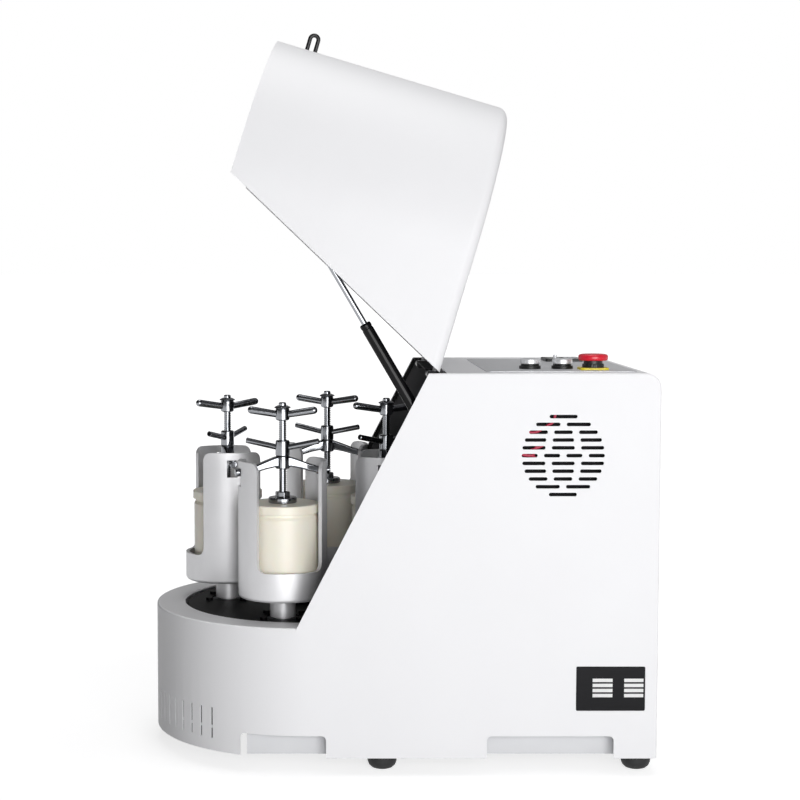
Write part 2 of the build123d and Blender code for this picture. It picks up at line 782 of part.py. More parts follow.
def drive_motor():
    low = base_plate_top
    high = low + motor_height
    flange_top = low + motor_flange_height
    core = motor_radius - 7
    body = post(motor_x, 0, flange_top, high - 42, core)
    for x, y in ring_of(motor_fins, core, motor_x, 0):
        angle = degrees(atan2(y, x - motor_x))
        fin = block(core - 3, motor_radius, -1.4, 1.4, flange_top + 10, high - 52)
        body += Pos(motor_x, 0, 0) * Rot(0, 0, angle) * fin
    body += post(motor_x, 0, high - 50, high, motor_radius)
    body = fillet(body.edges().sort_by(Axis.Z)[-1], 10)
    half = motor_flange_half
    flange = block(motor_x - half, motor_x + half, -half, half, low, flange_top)
    flange = fillet(flange.edges().filter_by(Axis.Z), 16)
    box_start = motor_x - 45
    box_bottom = low + terminal_box_rise
    box = block(box_start, box_start + terminal_box_length, motor_radius - 12, motor_radius + 34,
                box_bottom, box_bottom + terminal_box_height)
    body = body + flange + box
    return body - post(motor_x, 0, low - 1, low + 40, motor_shaft_radius + run_gap)


def motor_pulley():
    wheel = pulley(motor_x, motor_pulley_radius, motor_shaft_radius - 1)
    return wheel + post(motor_x, 0, belt_bottom - 3, base_plate_top + 30, motor_shaft_radius)


def inverter():
    x0 = partition_x + liner_sheet
    y0 = inverter_y - inverter_width / 2
    y1 = inverter_y + inverter_width / 2
    body = block(x0 + 4, x0 + inverter_depth, y0, y1, inverter_z, inverter_z + inverter_height)
    body = fillet(body.edges().filter_by(Axis.Z), 5)
    return body + block(x0, x0 + 5, y0 - 8, y1 + 8, inverter_z - 8, inverter_z + inverter_height + 8)


# ---------------------------------------------------------------- lid
def opened(solid):
    """From the closed lid's place to the open one."""
    return solid.rotate(hinge_line, lid_open_angle)


def lid_outline():
    """Side outline that keeps only what lies in front of the slanted edge."""
    low = lid_bottom - 1
    high = deck_top
    far = front_x - 1
    return [(far, low), (slant_x(low, -lid_gap), low), (slant_x(high, -lid_gap), high), (far, high)]


def lid_body(inset, x_end, low):
    """The lid as a full body, drawn in by inset, with its rounded upper rim."""
    top = deck_top - inset
    whole = nose_prism(inset, x_end, low, top)
    rims = [e for e in whole.edges() if abs(e.center().Z - top) < 0.01 and e.center().X < x_end - 1]
    return fillet(rims, lid_round - inset)


def lid_shell():
    x_end = lid_rear_x + 60
    whole = lid_body(0, x_end, lid_bottom)
    inner = lid_body(sheet, x_end + 1, lid_bottom - 1)
    keep = side_prism(lid_outline(), -nose_radius - 1, nose_radius + 1)
    lid = (whole - inner) & keep
    # Folded lower rim, which stiffens the free edge.
    rim = nose_prism(sheet, lid_rear_x, lid_bottom, lid_bottom + sheet)
    rim -= nose_prism(lid_flange, lid_rear_x + 1, lid_bottom - 1, lid_bottom + sheet + 1)
    lid += rim & keep
    for side in (-1, 1):
        lid += lid_leaf(side * hinge_y)
    wall = -inner_half - sheet / 4
    pin_end = -strut_y - strut_eye_width / 2 - open_pivot_gap
    lid += crossbar(closed_head.X, wall, pin_end, closed_head.Z, strut_pin_radius)
    lid += crossbar(closed_head.X, wall, -inner_half + 6, closed_head.Z, strut_pad_radius)
    return opened(lid)


def lid_leaf(y):
    """Hinge strap welded under the lid, with the middle knuckle on its end."""
    half = knuckle_length / 2
    low = deck_top - sheet - leaf
    high = deck_top - sheet + sheet / 4
    strap = block(hinge_x - leaf_reach, hinge_x - hinge_pin_radius, y - half, y + half, low, high)
    knuckle = crossbar(hinge_x, y - half, y + half, hinge_z, knuckle_radius)
    bore = crossbar(hinge_x, y - half - 1, y + half + 1, hinge_z, hinge_pin_radius + run_gap)
    return strap + knuckle - bore


def body_hinges():
    """Hinge leaves on the partition, each with two knuckles and the pin."""
    leaves = []
    step = knuckle_length + knuckle_gap
    half = knuckle_length / 2
    top = deck_top - sheet - fit_gap
    clear_x = hinge_x + knuckle_radius + leaf
    for y in (-hinge_y, hinge_y):
        hinge = block(clear_x, partition_x - fit_gap, y - hinge_half, y + hinge_half, top - leaf, top)
        for middle in (y - step, y + step):
            hinge += block(hinge_x, clear_x + 1, middle - half, middle + half, top - leaf, top)
            hinge += crossbar(hinge_x, middle - half, middle + half, hinge_z, knuckle_radius)
        hinge += crossbar(hinge_x, y - hinge_half, y + hinge_half, hinge_z, hinge_pin_radius)
        leaves.append(hinge)
    return leaves


def lid_handle():
    """Upright loop of round bar on the middle of the nose."""
    low = lid_bottom + lid_handle_rise - lid_handle_width / 2
    high = low + lid_handle_width
    root = front_x - fit_gap
    x = front_x - lid_handle_reach
    path = FilletPolyline((root, 0, low), (x, 0, low), (x, 0, high), (root, 0, high),
                          radius=lid_handle_width * 0.49)
    loop = sweep(Plane(path @ 0, z_dir=path % 0) * Circle(lid_handle_wire), path=path)
    return opened(loop)


# ---------------------------------------------------------------- gas spring
def along_strut(distance):
    return strut_foot + strut_line * distance


def strut_eye(centre, radius):
    half = strut_eye_width / 2
    return crossbar(centre.X, centre.Y - half, centre.Y + half, centre.Z, radius)


def strut_tube():
    tube = bar(along_strut(strut_tube_start), along_strut(strut_tube_length), strut_tube_radius)
    neck_start = along_strut(strut_pin_radius + 1)
    tube += bar(neck_start, along_strut(strut_tube_start + 1), strut_eye_width / 2 - 0.6)
    tube += strut_eye(strut_foot, strut_eye_radius)
    tube -= bar(along_strut(strut_tube_floor), along_strut(strut_tube_length + 1), strut_rod_radius + run_gap)
    half = strut_eye_width / 2 + 1
    return tube - crossbar(strut_foot.X, -strut_y - half, -strut_y + half, strut_foot.Z,
                           strut_pin_radius + run_gap)


def strut_rod():
    low = strut_open_length - strut_rod_length
    rod = bar(along_strut(low), along_strut(strut_open_length - 3), strut_rod_radius)
    return rod + strut_eye(open_head, strut_eye_radius)


# ---------------------------------------------------------------- jar stations
def station_place(name):
    angle = radians(station_angles[name] - station_turn)
    return disc_x + orbit * cos(angle), orbit * sin(angle)


def placed(name, solid, turn=0.0):
    x, y = station_place(name)
    return Pos(x, y, 0) * Rot(0, 0, turn) * solid


def planet_spindle(name):
    angle = station_angles[name] - station_turn
    low = gear_bottom - 3
    shaft = post(0, 0, low, disc_top + 2, spindle_radius)
    shaft += post(0, 0, disc_top + hub_rise, holder_bottom, hub_radius)
    shaft += post(0, 0, holder_bottom - 4, holder_bottom, hub_radius + 10)
    nut = post(0, 0, gear_bottom - 12, gear_bottom - 3, spindle_radius + 4)
    wheel = Pos(0, 0, gear_bottom) * Rot(0, 0, planet_phase(angle)) * spur_gear(planet_teeth, spindle_radius)
    return [placed(name, shaft + nut), placed(name, wheel)]


def jar_holder(name):
    """Steel cup with two tall arms; a window in each arm takes the clamp beam."""
    inner = holder_radius - holder_wall
    cup = post(0, 0, holder_bottom, holder_top, holder_radius)
    cup = fillet(cup.edges().sort_by(Axis.Z)[0], 8)
    cup -= post(0, 0, holder_bottom + holder_floor, holder_top + 1, inner)
    arm_height = holder_top - cup_rim
    gap = Pos(0, holder_top) * RectangleRounded(2 * cutout_half, 2 * arm_height, cutout_corner)
    cup -= extrude(Plane.XZ * gap, amount=holder_radius + 1, both=True)
    # Rounded upper corners of both arms.
    half_arm = sqrt(holder_radius ** 2 - cutout_half ** 2)
    tall = Pos(0, cup_rim) * RectangleRounded(2 * half_arm, 2 * arm_height, arm_corner)
    band_height = cup_rim - holder_bottom + arm_height
    band = Pos(0, holder_bottom + band_height / 2 - arm_height / 2)
    band *= Rectangle(2 * holder_radius + 2, band_height)
    cup &= extrude(Plane.YZ * (tall + band), amount=holder_radius + 1, both=True)
    half_window = window_width / 2
    cup -= block(-holder_radius - 1, holder_radius + 1, -half_window, half_window,
                 window_top - window_height, window_top)
    seat = holder_bottom + holder_floor
    ring_inner = jar_radius + jar_gap
    cup += sleeve(0, 0, seat - 0.5, seat + seat_ring_height, ring_inner + seat_ring_wall, ring_inner)
    return placed(name, cup, stations[name][0])


def jar(name):
    low = holder_bottom + holder_floor
    pot = post(0, 0, low, jar_top, jar_radius)
    pot = fillet(pot.edges().sort_by(Axis.Z)[0], 4)
    pot -= post(0, 0, low + jar_wall + 2, jar_top + 1, jar_radius - jar_wall)
    return placed(name, pot, stations[name][0])


def jar_lid(name):
    cover = post(0, 0, jar_top, lid_top, jar_lid_radius)
    cover = fillet(cover.edges().sort_by(Axis.Z)[-1], 2)
    cover += post(0, 0, jar_top - jar_lid_spigot, jar_top + 1, jar_radius - jar_wall - jar_gap)
    return placed(name, cover, stations[name][0])


def clamp_beam(name):
    """Gull-shaped cross beam with a threaded boss; its round ends sit in the arm windows."""
    end_z = window_top - beam_end_radius
    high = beam_boss_top - 1
    low = beam_boss_bottom + 3
    boss = post(0, 0, beam_boss_bottom, beam_boss_top, beam_boss_radius)
    wing_end = holder_radius - holder_wall - 3
    outline = [(0, high), (beam_boss_radius + 2, high), (wing_end, end_z + beam_end_radius),
               (wing_end, end_z - beam_end_radius + 1), (beam_boss_radius + 3, low), (0, low)]
    wing = side_prism(outline, -beam_width / 2, beam_width / 2)
    wing += bar((wing_end - 6, 0, end_z), (beam_reach, 0, end_z), beam_end_radius - 0.1)
    beam = boss + wing + mirror(wing, about=Plane.YZ)
    beam -= post(0, 0, beam_boss_bottom - 1, beam_boss_top + 1, screw_radius + run_gap)
    return placed(name, beam, stations[name][0])


def handle_arms(z, inner, reach, radius, rise, round_ends):
    arms = []
    for side in (-1, 1):
        up = (reach - inner) * tan(radians(rise))
        start = (side * inner, 0, z)
        end = (side * (reach - radius * round_ends), 0, z + up)
        arm = bar(start, end, radius)
        if round_ends:
            arm += Pos(*end) * Sphere(radius)
        arms.append(arm)
    return arms[0] + arms[1]


def lock_nut(name):
    low = beam_boss_top + fit_gap
    nut = post(0, 0, low, low + nut_height, nut_radius)
    nut = chamfer(nut.edges().sort_by(Axis.Z)[-1], 1.2)
    arm_z = low + nut_height * 0.52
    nut += handle_arms(arm_z, screw_radius, nut_arm_reach, nut_arm_radius, nut_arm_rise, False)
    nut -= post(0, 0, low - 1, low + nut_height + 1, screw_radius + run_gap)
    return placed(name, nut, stations[name][1])


def clamp_screw(name):
    top = handle_bottom + handle_height
    screw = post(0, 0, lid_top + pad_floor + fit_gap, screw_top, screw_radius)
    screw = chamfer(screw.edges().sort_by(Axis.Z)[-1], 1.5)
    hub = post(0, 0, handle_bottom, top, handle_radius)
    screw += chamfer(hub.edges().filter_by(GeomType.CIRCLE), 2)
    screw += handle_arms(handle_bottom + handle_height * 0.45, screw_radius + 1, handle_reach,
                         handle_arm_radius, handle_arm_rise, True)
    screw += post(0, 0, top - 0.5, top + washer_height, washer_radius)
    return placed(name, screw, stations[name][2])


def pressure_pad(name):
    nut_top = lid_top + pad_height + pad_nut_height
    pad = post(0, 0, lid_top, lid_top + pad_height, pad_radius)
    pad = chamfer(pad.edges().sort_by(Axis.Z)[-1], 1)
    pad += post(0, 0, lid_top, nut_top, pad_nut_radius)
    pad -= post(0, 0, lid_top + pad_floor, nut_top + 1, screw_radius + run_gap)
    return placed(name, pad)


# ---------------------------------------------------------------- all nodes
def all_nodes():
    nodes = {
        "housing_shell": housing_shell(),
        "rear_cover": rear_cover(),
        "chamber_liner": chamber_liner(),
        "opening_seal": opening_seal(),
        "base_frame": base_frame(),
        "rubber_feet": rubber_feet(),
        "control_panel": control_panel(),
        "start_button": push_button(start_x),
        "stop_button": push_button(stop_x),
        "emergency_stop": emergency_stop(),
        "speed_knob": speed_knob(),
        "bearing_housing": bearing_housing(),
        "sun_gear": sun_gear(),
        "carrier_disc": carrier_disc(),
        "planet_bearings": planet_bearings(),
        "main_shaft": main_shaft(),
        "main_pulley": main_pulley(),
        "drive_belt": drive_belt(),
        "drive_motor": drive_motor(),
        "motor_pulley": motor_pulley(),
        "inverter": inverter(),
        "body_hinges": body_hinges(),
        "lid_shell": lid_shell(),
        "lid_handle": lid_handle(),
        "strut_tube": strut_tube(),
        "strut_rod": strut_rod(),
    }
    for name in stations:
        nodes[f"planet_spindle_{name}"] = planet_spindle(name)
        nodes[f"jar_holder_{name}"] = jar_holder(name)
        nodes[f"jar_{name}"] = jar(name)
        nodes[f"jar_lid_{name}"] = jar_lid(name)
        nodes[f"clamp_beam_{name}"] = clamp_beam(name)
        nodes[f"lock_nut_{name}"] = lock_nut(name)
        nodes[f"clamp_screw_{name}"] = clamp_screw(name)
        nodes[f"pressure_pad_{name}"] = pressure_pad(name)
    return nodes


if __name__ == "__main__":
    os.makedirs("parts", exist_ok=True)
    for name, shape in all_nodes().items():
        solids = shape if isinstance(shape, list) else [shape]
        group = Compound(children=[solid for item in solids for solid in item.solids()])
        export_step(group, f"parts/{name}.step")
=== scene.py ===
from math import cos, pi, radians, sin

import bmesh
import bpy
from mathutils import Matrix, Vector


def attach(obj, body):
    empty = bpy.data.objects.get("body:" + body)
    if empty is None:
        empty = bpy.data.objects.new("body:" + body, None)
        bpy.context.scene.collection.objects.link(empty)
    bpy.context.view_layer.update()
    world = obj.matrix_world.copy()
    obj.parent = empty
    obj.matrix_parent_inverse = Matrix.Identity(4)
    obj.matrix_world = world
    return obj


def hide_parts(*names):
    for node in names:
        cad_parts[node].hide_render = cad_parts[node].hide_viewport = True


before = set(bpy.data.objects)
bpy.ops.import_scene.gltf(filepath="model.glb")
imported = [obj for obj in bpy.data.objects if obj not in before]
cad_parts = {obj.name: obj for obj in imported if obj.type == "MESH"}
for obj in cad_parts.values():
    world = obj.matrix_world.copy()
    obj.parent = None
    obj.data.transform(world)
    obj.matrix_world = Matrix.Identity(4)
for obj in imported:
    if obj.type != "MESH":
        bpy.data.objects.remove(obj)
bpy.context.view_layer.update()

scene = bpy.context.scene
scene.view_settings.view_transform = "Standard"

# ------------------------------------------------------------------ the studio
# A pale seamless floor and a white surround, with one wide soft lamp in front
# of the mill and one above it. The surround is dimmer to the left, so that
# the round nose darkens as it turns away.


def color(hex_code):
    """The linear colour of an sRGB hex code."""
    parts = [int(hex_code[i:i + 2], 16) / 255 for i in (1, 3, 5)]
    return [*(p / 12.92 if p <= 0.04045 else ((p + 0.055) / 1.055) ** 2.4 for p in parts), 1.0]


def add(tree, kind, links=None, **settings):
    """Adds a node; links maps an input to a socket that feeds it or to its value."""
    made = tree.nodes.new(kind)
    for key, value in settings.items():
        setattr(made, key, value)
    for key, value in (links or {}).items():
        if isinstance(value, bpy.types.NodeSocket):
            tree.links.new(value, made.inputs[key])
        else:
            made.inputs[key].default_value = value
    return made


def material(name, **inputs):
    """A new material, with values set on its shader's own sockets."""
    made = bpy.data.materials.new(name)
    made.use_nodes = True
    shader = made.node_tree.nodes["Principled BSDF"]
    for key, value in inputs.items():
        shader.inputs[key.replace("_", " ")].default_value = value
    return made, made.node_tree, shader


def remap(tree, value, start, end, low, high):
    """Carries the span from start to end over to the span from low to high."""
    return add(tree, "ShaderNodeMapRange", {"Value": value, 1: start, 2: end, 3: low, 4: high}).outputs[0]


world = bpy.data.worlds.new("studio")
scene.world = world
world.use_nodes = True
tree = world.node_tree
surround = tree.nodes["Background"]
place = add(tree, "ShaderNodeTexCoord").outputs["Generated"]
parts = add(tree, "ShaderNodeSeparateXYZ", {"Vector": place}).outputs
to_right = remap(tree, parts["X"], -0.8, 0.5, 0.02, 0.48)
upward = remap(tree, parts["Z"], 0.25, 0.95, 1.0, 0.45)
level = add(tree, "ShaderNodeMath", {0: to_right, 1: upward}, operation="MULTIPLY").outputs[0]
rays = add(tree, "ShaderNodeLightPath").outputs
seen = add(tree, "ShaderNodeMath", {0: rays["Is Camera Ray"], 1: rays["Is Transmission Ray"]},
           operation="MAXIMUM").outputs[0]
strength = add(tree, "ShaderNodeMix", {"Factor": seen, "A": level, "B": 1.0}).outputs[0]
surround.inputs["Color"].default_value = (1, 1, 1, 1)
tree.links.new(strength, surround.inputs["Strength"])

floor_mesh = bmesh.new()
bmesh.ops.create_grid(floor_mesh, x_segments=1, y_segments=1, size=400)
floor_data = bpy.data.meshes.new("floor")
floor_mesh.to_mesh(floor_data)
floor_mesh.free()
floor = bpy.data.objects.new("floor", floor_data)
scene.collection.objects.link(floor)
paper, tree, shader = material("seamless_paper", Roughness=0.9)
shader.inputs["Base Color"].default_value = color("#C4C4C5")
rays = add(tree, "ShaderNodeLightPath").outputs
seen = add(tree, "ShaderNodeMath", {0: rays["Is Camera Ray"], 1: rays["Is Glossy Ray"]},
           operation="MAXIMUM").outputs[0]
# The paper keeps its shadow near the mill and fades to white two metres off.
place = add(tree, "ShaderNodeTexCoord").outputs["Object"]
away = add(tree, "ShaderNodeVectorMath", {0: place}, operation="LENGTH").outputs["Value"]
fade = remap(tree, away, 0.7, 2.2, 0.74, 1.05)
glow = add(tree, "ShaderNodeMath", {0: seen, 1: fade}, operation="MULTIPLY").outputs[0]
tree.links.new(glow, shader.inputs["Emission Strength"])
shader.inputs["Emission Color"].default_value = (1, 1, 1, 1)
floor_data.materials.append(paper)


def soft_lamp(name, place, aim, size, power):
    """A wide lamp that stands at a place and shines towards its aim."""
    lamp = bpy.data.lights.new(name, "AREA")
    lamp.shape = "RECTANGLE"
    lamp.size, lamp.size_y = size
    lamp.energy = power
    made = bpy.data.objects.new(name, lamp)
    made.location = place
    made.rotation_euler = (Vector(aim) - Vector(place)).to_track_quat("-Z", "Y").to_euler()
    scene.collection.objects.link(made)


soft_lamp("front_softbox", place=(0.55, -2.9, 0.65), aim=(0.05, 0, 0.5), size=(2.0, 1.3), power=56)
soft_lamp("top_softbox", place=(0.1, 0.3, 2.9), aim=(0, 0, 0.4), size=(1.6, 1.6), power=25)

# The camera stands 2.7 metres off, level with the lower part of the open lid,
# and looks down a little.
camera_dip = 4.358
camera_data = bpy.data.cameras.new("camera")
camera_data.lens, camera_data.sensor_width = 77.75, 36.0
camera_data.shift_x, camera_data.shift_y = 0.0924, 0.0051
camera = bpy.data.objects.new("camera", camera_data)
camera.location = (-0.1081, -2.7140, 0.7325)
camera.rotation_euler = (radians(90 - camera_dip), 0, 0)
scene.collection.objects.link(camera)
scene.camera = camera

# ------------------------------------------------------------------ housing
# The housing, its rear cover and the lid are bent and welded from 2 mm steel
# sheet and powder coated in off-white. The coat has a soft, broad sheen with
# a faint orange peel and hardly any change of tone.


def dress(finish, *names):
    """Gives CAD nodes that keep their shape a finish."""
    for name in names:
        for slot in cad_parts[name].material_slots:
            slot.material = finish


def noise(tree, scale, detail=2.0, stretch=None):
    """Noise in object coordinates, with so many waves in a metre, or more along a stretched axis."""
    place = add(tree, "ShaderNodeTexCoord").outputs["Object"]
    if stretch:
        place = add(tree, "ShaderNodeMapping", {"Vector": place, "Scale": stretch}).outputs["Vector"]
    return add(tree, "ShaderNodeTexNoise", {"Vector": place, "Scale": scale, "Detail": detail}).outputs["Fac"]


def two_tones(tree, shader, factor, one, other):
    """Lets the base colour drift from one tone to another, and returns it."""
    tone = add(tree, "ShaderNodeMix", {"Factor": factor, "A": color(one), "B": color(other)},
               data_type="RGBA").outputs["Result"]
    tree.links.new(tone, shader.inputs["Base Color"])
    return tone


def relief(tree, shader, height, strength, depth):
    """Lets a texture shape the surface."""
    bump = add(tree, "ShaderNodeBump", {"Height": height, "Strength": strength, "Distance": depth})
    tree.links.new(bump.outputs["Normal"], shader.inputs["Normal"])


powder_coat, tree, shader = material("powder_coated_steel", Roughness=0.45, Specular_IOR_Level=0.3)
two_tones(tree, shader, noise(tree, 6.0), "#F1F1F3", "#F5F5F7")
# Orange peel waves are about 1.5 mm long.
relief(tree, shader, noise(tree, 650.0, 1.0), 0.06, 0.0002)
dress(powder_coat, "housing_shell", "rear_cover", "lid_shell")

# ------------------------------------------------------------------ nameplate
# A black anodised aluminium plate, glued into its shallow recess. Anodising
# gives an even, slightly satin black; its eight fields are bare, filled with
# white enamel and left blank.


def slab(x0, x1, y0, y1, z0, z1):
    """A rectangular block between two corners, in mm."""
    shape = bmesh.new()
    middle = Matrix.Translation(((x0 + x1) / 2, (y0 + y1) / 2, (z0 + z1) / 2))
    bmesh.ops.create_cube(shape, size=1.0, matrix=middle @ Matrix.Diagonal((x1 - x0, y1 - y0, z1 - z0, 1)))
    return shape


def runs_along(edge, axis):
    """Tells whether an edge runs along x, y or z, counted from 0."""
    return abs((edge.verts[0].co - edge.verts[1].co).normalized()[axis]) > 0.9


def rounded(shape, width, segments=3, sharper=30, where=None):
    """Rounds the edges that are sharper than an angle, or those of them that pass a test."""
    edges = [e for e in shape.edges if len(e.link_faces) == 2 and e.calc_face_angle(0) > radians(sharper)
             and (where is None or where(e))]
    bmesh.ops.bevel(shape, geom=edges, offset=width, segments=segments, profile=0.5, affect="EDGES",
                    material=-1, clamp_overlap=True)
    return shape


def moved(shape, matrix):
    """Moves a shape and hands it back."""
    bmesh.ops.transform(shape, matrix=matrix, verts=shape.verts[:])
    return shape


def joined(*shapes):
    """Several shapes as one."""
    whole = shapes[0]
    for part in shapes[1:]:
        data = bpy.data.meshes.new("part")
        part.to_mesh(data)
        part.free()
        whole.from_mesh(data)
        bpy.data.meshes.remove(data)
    return whole


def piece(shape, name, finish, body, stands_for=()):
    """Makes a shape, drawn in mm, one finished piece that moves with a body."""
    moved(shape, Matrix.Scale(0.001, 4))
    data = bpy.data.meshes.new(name)
    shape.to_mesh(data)
    shape.free()
    data.shade_smooth()
    data.set_sharp_from_angle(angle=radians(40))
    data.materials.append(finish)
    made = bpy.data.objects.new(name, data)
    scene.collection.objects.link(made)
    made.modifiers.new("flat_faces_stay_flat", "WEIGHTED_NORMAL").keep_sharp = True
    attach(made, body)
    if stands_for:
        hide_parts(*stands_for)
    return made


anodised, tree, shader = material("black_anodised_aluminium", Metallic=0.9, Roughness=0.42)
# The rolled grain of the sheet runs along the plate, 0.3 mm apart.
two_tones(tree, shader, noise(tree, 1.0, stretch=(40, 3000, 3000)), "#131314", "#1E1E20")
enamel, tree, shader = material("white_enamel_fill", Roughness=0.35)
two_tones(tree, shader, noise(tree, 300.0), "#E2E2E2", "#EFEFEF")

side_y = -235.0
recess_x, recess_z, recess_length, recess_height = 256.0, 94.5, 101.0, 66.0
plate_gap, plate_y, plate_thickness, plate_corner = 0.3, side_y + 0.25, 0.5, 2.0
x0, x1 = recess_x + plate_gap, recess_x + recess_length - plate_gap
z0, z1 = recess_z + plate_gap, recess_z + recess_height - plate_gap
sheet = rounded(slab(x0, x1, plate_y, plate_y + plate_thickness, z0, z1), plate_corner,
                where=lambda e: runs_along(e, 1))
piece(sheet, "nameplate", anodised, "root")
# The enamel stands 0.05 mm proud, in two columns of four fields.
enamel_y, enamel_thickness = plate_y - 0.05, 0.1
first_field, field_pitch, field_height = 17.8, 7.5, 5.0
fields = []
for start, end in ((24, 53), (70, 98)):
    for row in range(4):
        high = z1 - first_field - row * field_pitch
        fields.append(slab(x0 + start, x0 + end, enamel_y, enamel_y + enamel_thickness,
                           high - field_height, high))
piece(joined(*fields), "nameplate_fields", enamel, "root")

# ------------------------------------------------------------------ feet
# Five round feet are moulded from black rubber, with a domed tread and a hole
# in the middle for the screw. Moulded rubber looks matt and slightly mottled.
rubber, tree, shader = material("moulded_black_rubber", Roughness=0.62)
two_tones(tree, shader, noise(tree, 160.0, 3.0), "#121213", "#222224")
# Mould texture with grains of about 0.5 mm.
relief(tree, shader, noise(tree, 2000.0), 0.25, 0.0003)


def turned(outline, steps=64):
    """A round shape from its outline, given as radius and height."""
    shape = bmesh.new()
    verts = [shape.verts.new((radius, 0, height)) for radius, height in outline]
    edges = [shape.edges.new(pair) for pair in zip(verts, verts[1:])]
    bmesh.ops.spin(shape, geom=verts + edges, cent=(0, 0, 0), axis=(0, 0, 1), angle=2 * pi, steps=steps,
                   use_merge=True)
    bmesh.ops.remove_doubles(shape, verts=shape.verts[:], dist=0.005)
    bmesh.ops.recalc_face_normals(shape, faces=shape.faces[:])
    return shape


foot_places = ((-351.0, 0), (-25.0, -196.0), (-25.0, 196.0), (351.0, -196.0), (351.0, 196.0))
foot_outline = [(0, 5), (5, 5), (5, 0.6), (11, 0), (15.5, 1.6), (19.4, 5.2), (21.4, 10), (22, 15),
                (22, 20.4), (21.2, 20.8), (21.2, 21.6), (22, 22), (22, 24), (0, 24)]
feet = [moved(turned(foot_outline, steps=48), Matrix.Translation((x, y, 0))) for x, y in foot_places]
piece(joined(*feet), "rubber_feet_domed", rubber, "root", ["rubber_feet"])

# ------------------------------------------------------------------ base frame
# The base plate and its rails are welded from steel and painted light grey.
# The rails are the pale walls that show inside the hand holds.
frame_paint, tree, shader = material("light_grey_enamel", Roughness=0.45)
two_tones(tree, shader, noise(tree, 14.0, 4.0), "#D6D7DA", "#E2E3E5")
# Brushed-on paint has waves of about 3 mm.
relief(tree, shader, noise(tree, 330.0), 0.1, 0.0004)
dress(frame_paint, "base_frame")

# ------------------------------------------------------------------ drive
# Under the disc a cast bearing housing carries the main shaft and the fixed
# sun gear, both of ground steel. A finned motor drives the shaft through two
# rubber belts below the base plate, and an inverter feeds it.
cast_iron, tree, shader = material("machined_cast_iron", Metallic=1.0, Roughness=0.52)
grain = noise(tree, 500.0, 4.0)
two_tones(tree, shader, grain, "#5A5B5D", "#7C7D80")
# Cast grain is about 2 mm.
relief(tree, shader, grain, 0.3, 0.0004)
dress(cast_iron, "bearing_housing", "planet_bearings", "main_pulley", "motor_pulley")

ground_steel, tree, shader = material("ground_steel", Metallic=1.0, Roughness=0.3)
# Grinding marks lie round the shafts, about 0.4 mm apart in height.
marks = noise(tree, 1.0, 3.0, stretch=(60, 60, 2500))
two_tones(tree, shader, marks, "#8E8F92", "#B4B5B8")
tree.links.new(remap(tree, marks, 0, 1, 0.24, 0.4), shader.inputs["Roughness"])
dress(ground_steel, "sun_gear", "main_shaft")

motor_paint, tree, shader = material("blue_grey_motor_enamel", Roughness=0.4)
two_tones(tree, shader, noise(tree, 40.0, 3.0), "#3A4654", "#46525F")
dress(motor_paint, "drive_motor")

belt_rubber, tree, shader = material("belt_rubber", Roughness=0.7)
two_tones(tree, shader, noise(tree, 900.0), "#141414", "#2A2A2A")
dress(belt_rubber, "drive_belt")

housing_plastic, tree, shader = material("moulded_dark_grey_abs", Roughness=0.5)
spark = noise(tree, 1200.0)
two_tones(tree, shader, spark, "#2C2E31", "#393B3F")
# Spark-eroded mould texture of under 1 mm.
relief(tree, shader, spark, 0.2, 0.0002)
dress(housing_plastic, "inverter")

# ------------------------------------------------------------------ chamber
# The chamber behind the jars is lined with folded sheet. Its satin dark grey is
# painted shade, standing in for the unlit inside of the chamber.
# Closed-cell sponge rubber runs down both slanted edges and along the deck's
# front edge, between the black oxidised hinges.
liner_shade_paint, tree, shader = material("satin_dark_grey_paint", Roughness=0.42)
two_tones(tree, shader, noise(tree, 10.0, 4.0), "#3A3A3E", "#48484C")
dress(liner_shade_paint, "chamber_liner")

sponge, tree, shader = material("black_sponge_rubber", Roughness=0.85)
place = add(tree, "ShaderNodeTexCoord").outputs["Object"]
# The cells are under a millimetre and are drawn at 1 mm so that they show.
cells = add(tree, "ShaderNodeTexVoronoi", {"Vector": place, "Scale": 1000.0}).outputs["Distance"]
two_tones(tree, shader, cells, "#0B0B0C", "#1B1B1C")
relief(tree, shader, cells, 0.3, 0.0004)
dress(sponge, "opening_seal")

black_oxide, tree, shader = material("black_oxidised_steel", Metallic=0.8, Roughness=0.4)
two_tones(tree, shader, noise(tree, 200.0, 3.0), "#161617", "#29292B")
dress(black_oxide, "body_hinges")

# ------------------------------------------------------------------ turning disc
# The disc is turned from steel plate and coated in a deep satin black. Its
# bolts and the cap on the shaft are coated with it.
disc_x = -140.0
disc_coat, tree, shader = material("black_coated_steel", Roughness=0.45, Specular_IOR_Level=0.1)
place = add(tree, "ShaderNodeTexCoord").outputs["Object"]
# Turning marks run round the shaft, which stands 140 mm before the middle.
offset = (-disc_x / 1000, 0, 0)
centred = add(tree, "ShaderNodeMapping", {"Vector": place, "Location": offset}).outputs["Vector"]
rings = add(tree, "ShaderNodeTexWave", {"Vector": centred, "Scale": 120.0, "Distortion": 0.6},
            wave_type="RINGS", rings_direction="Z").outputs["Fac"]
two_tones(tree, shader, rings, "#030304", "#08080A")
relief(tree, shader, rings, 0.08, 0.0002)
dress(disc_coat, "carrier_disc")

# ------------------------------------------------------------------ jar stations
# Four stations stand round the disc, a quarter turn apart. In each one holder,
# lock nut and clamp handle have been left at turns of their own.
orbit = 130.0
# Name: angle round the disc, then the turns of holder, lock nut and handle.
stations = {"front": (255.0, 14.3, -8.0, -4.0), "left": (165.0, -79.0, 62.0, 24.0),
            "back": (75.0, 8.0, -20.0, -14.0), "right": (-15.0, -94.0, 40.0, 10.0)}


def at_station(name, turn=1):
    """Where a station stands, and one of its three turns."""
    angle = radians(stations[name][0])
    spot = Matrix.Translation((disc_x + orbit * cos(angle), orbit * sin(angle), 0))
    return spot @ Matrix.Rotation(radians(stations[name][turn]), 4, "Z")


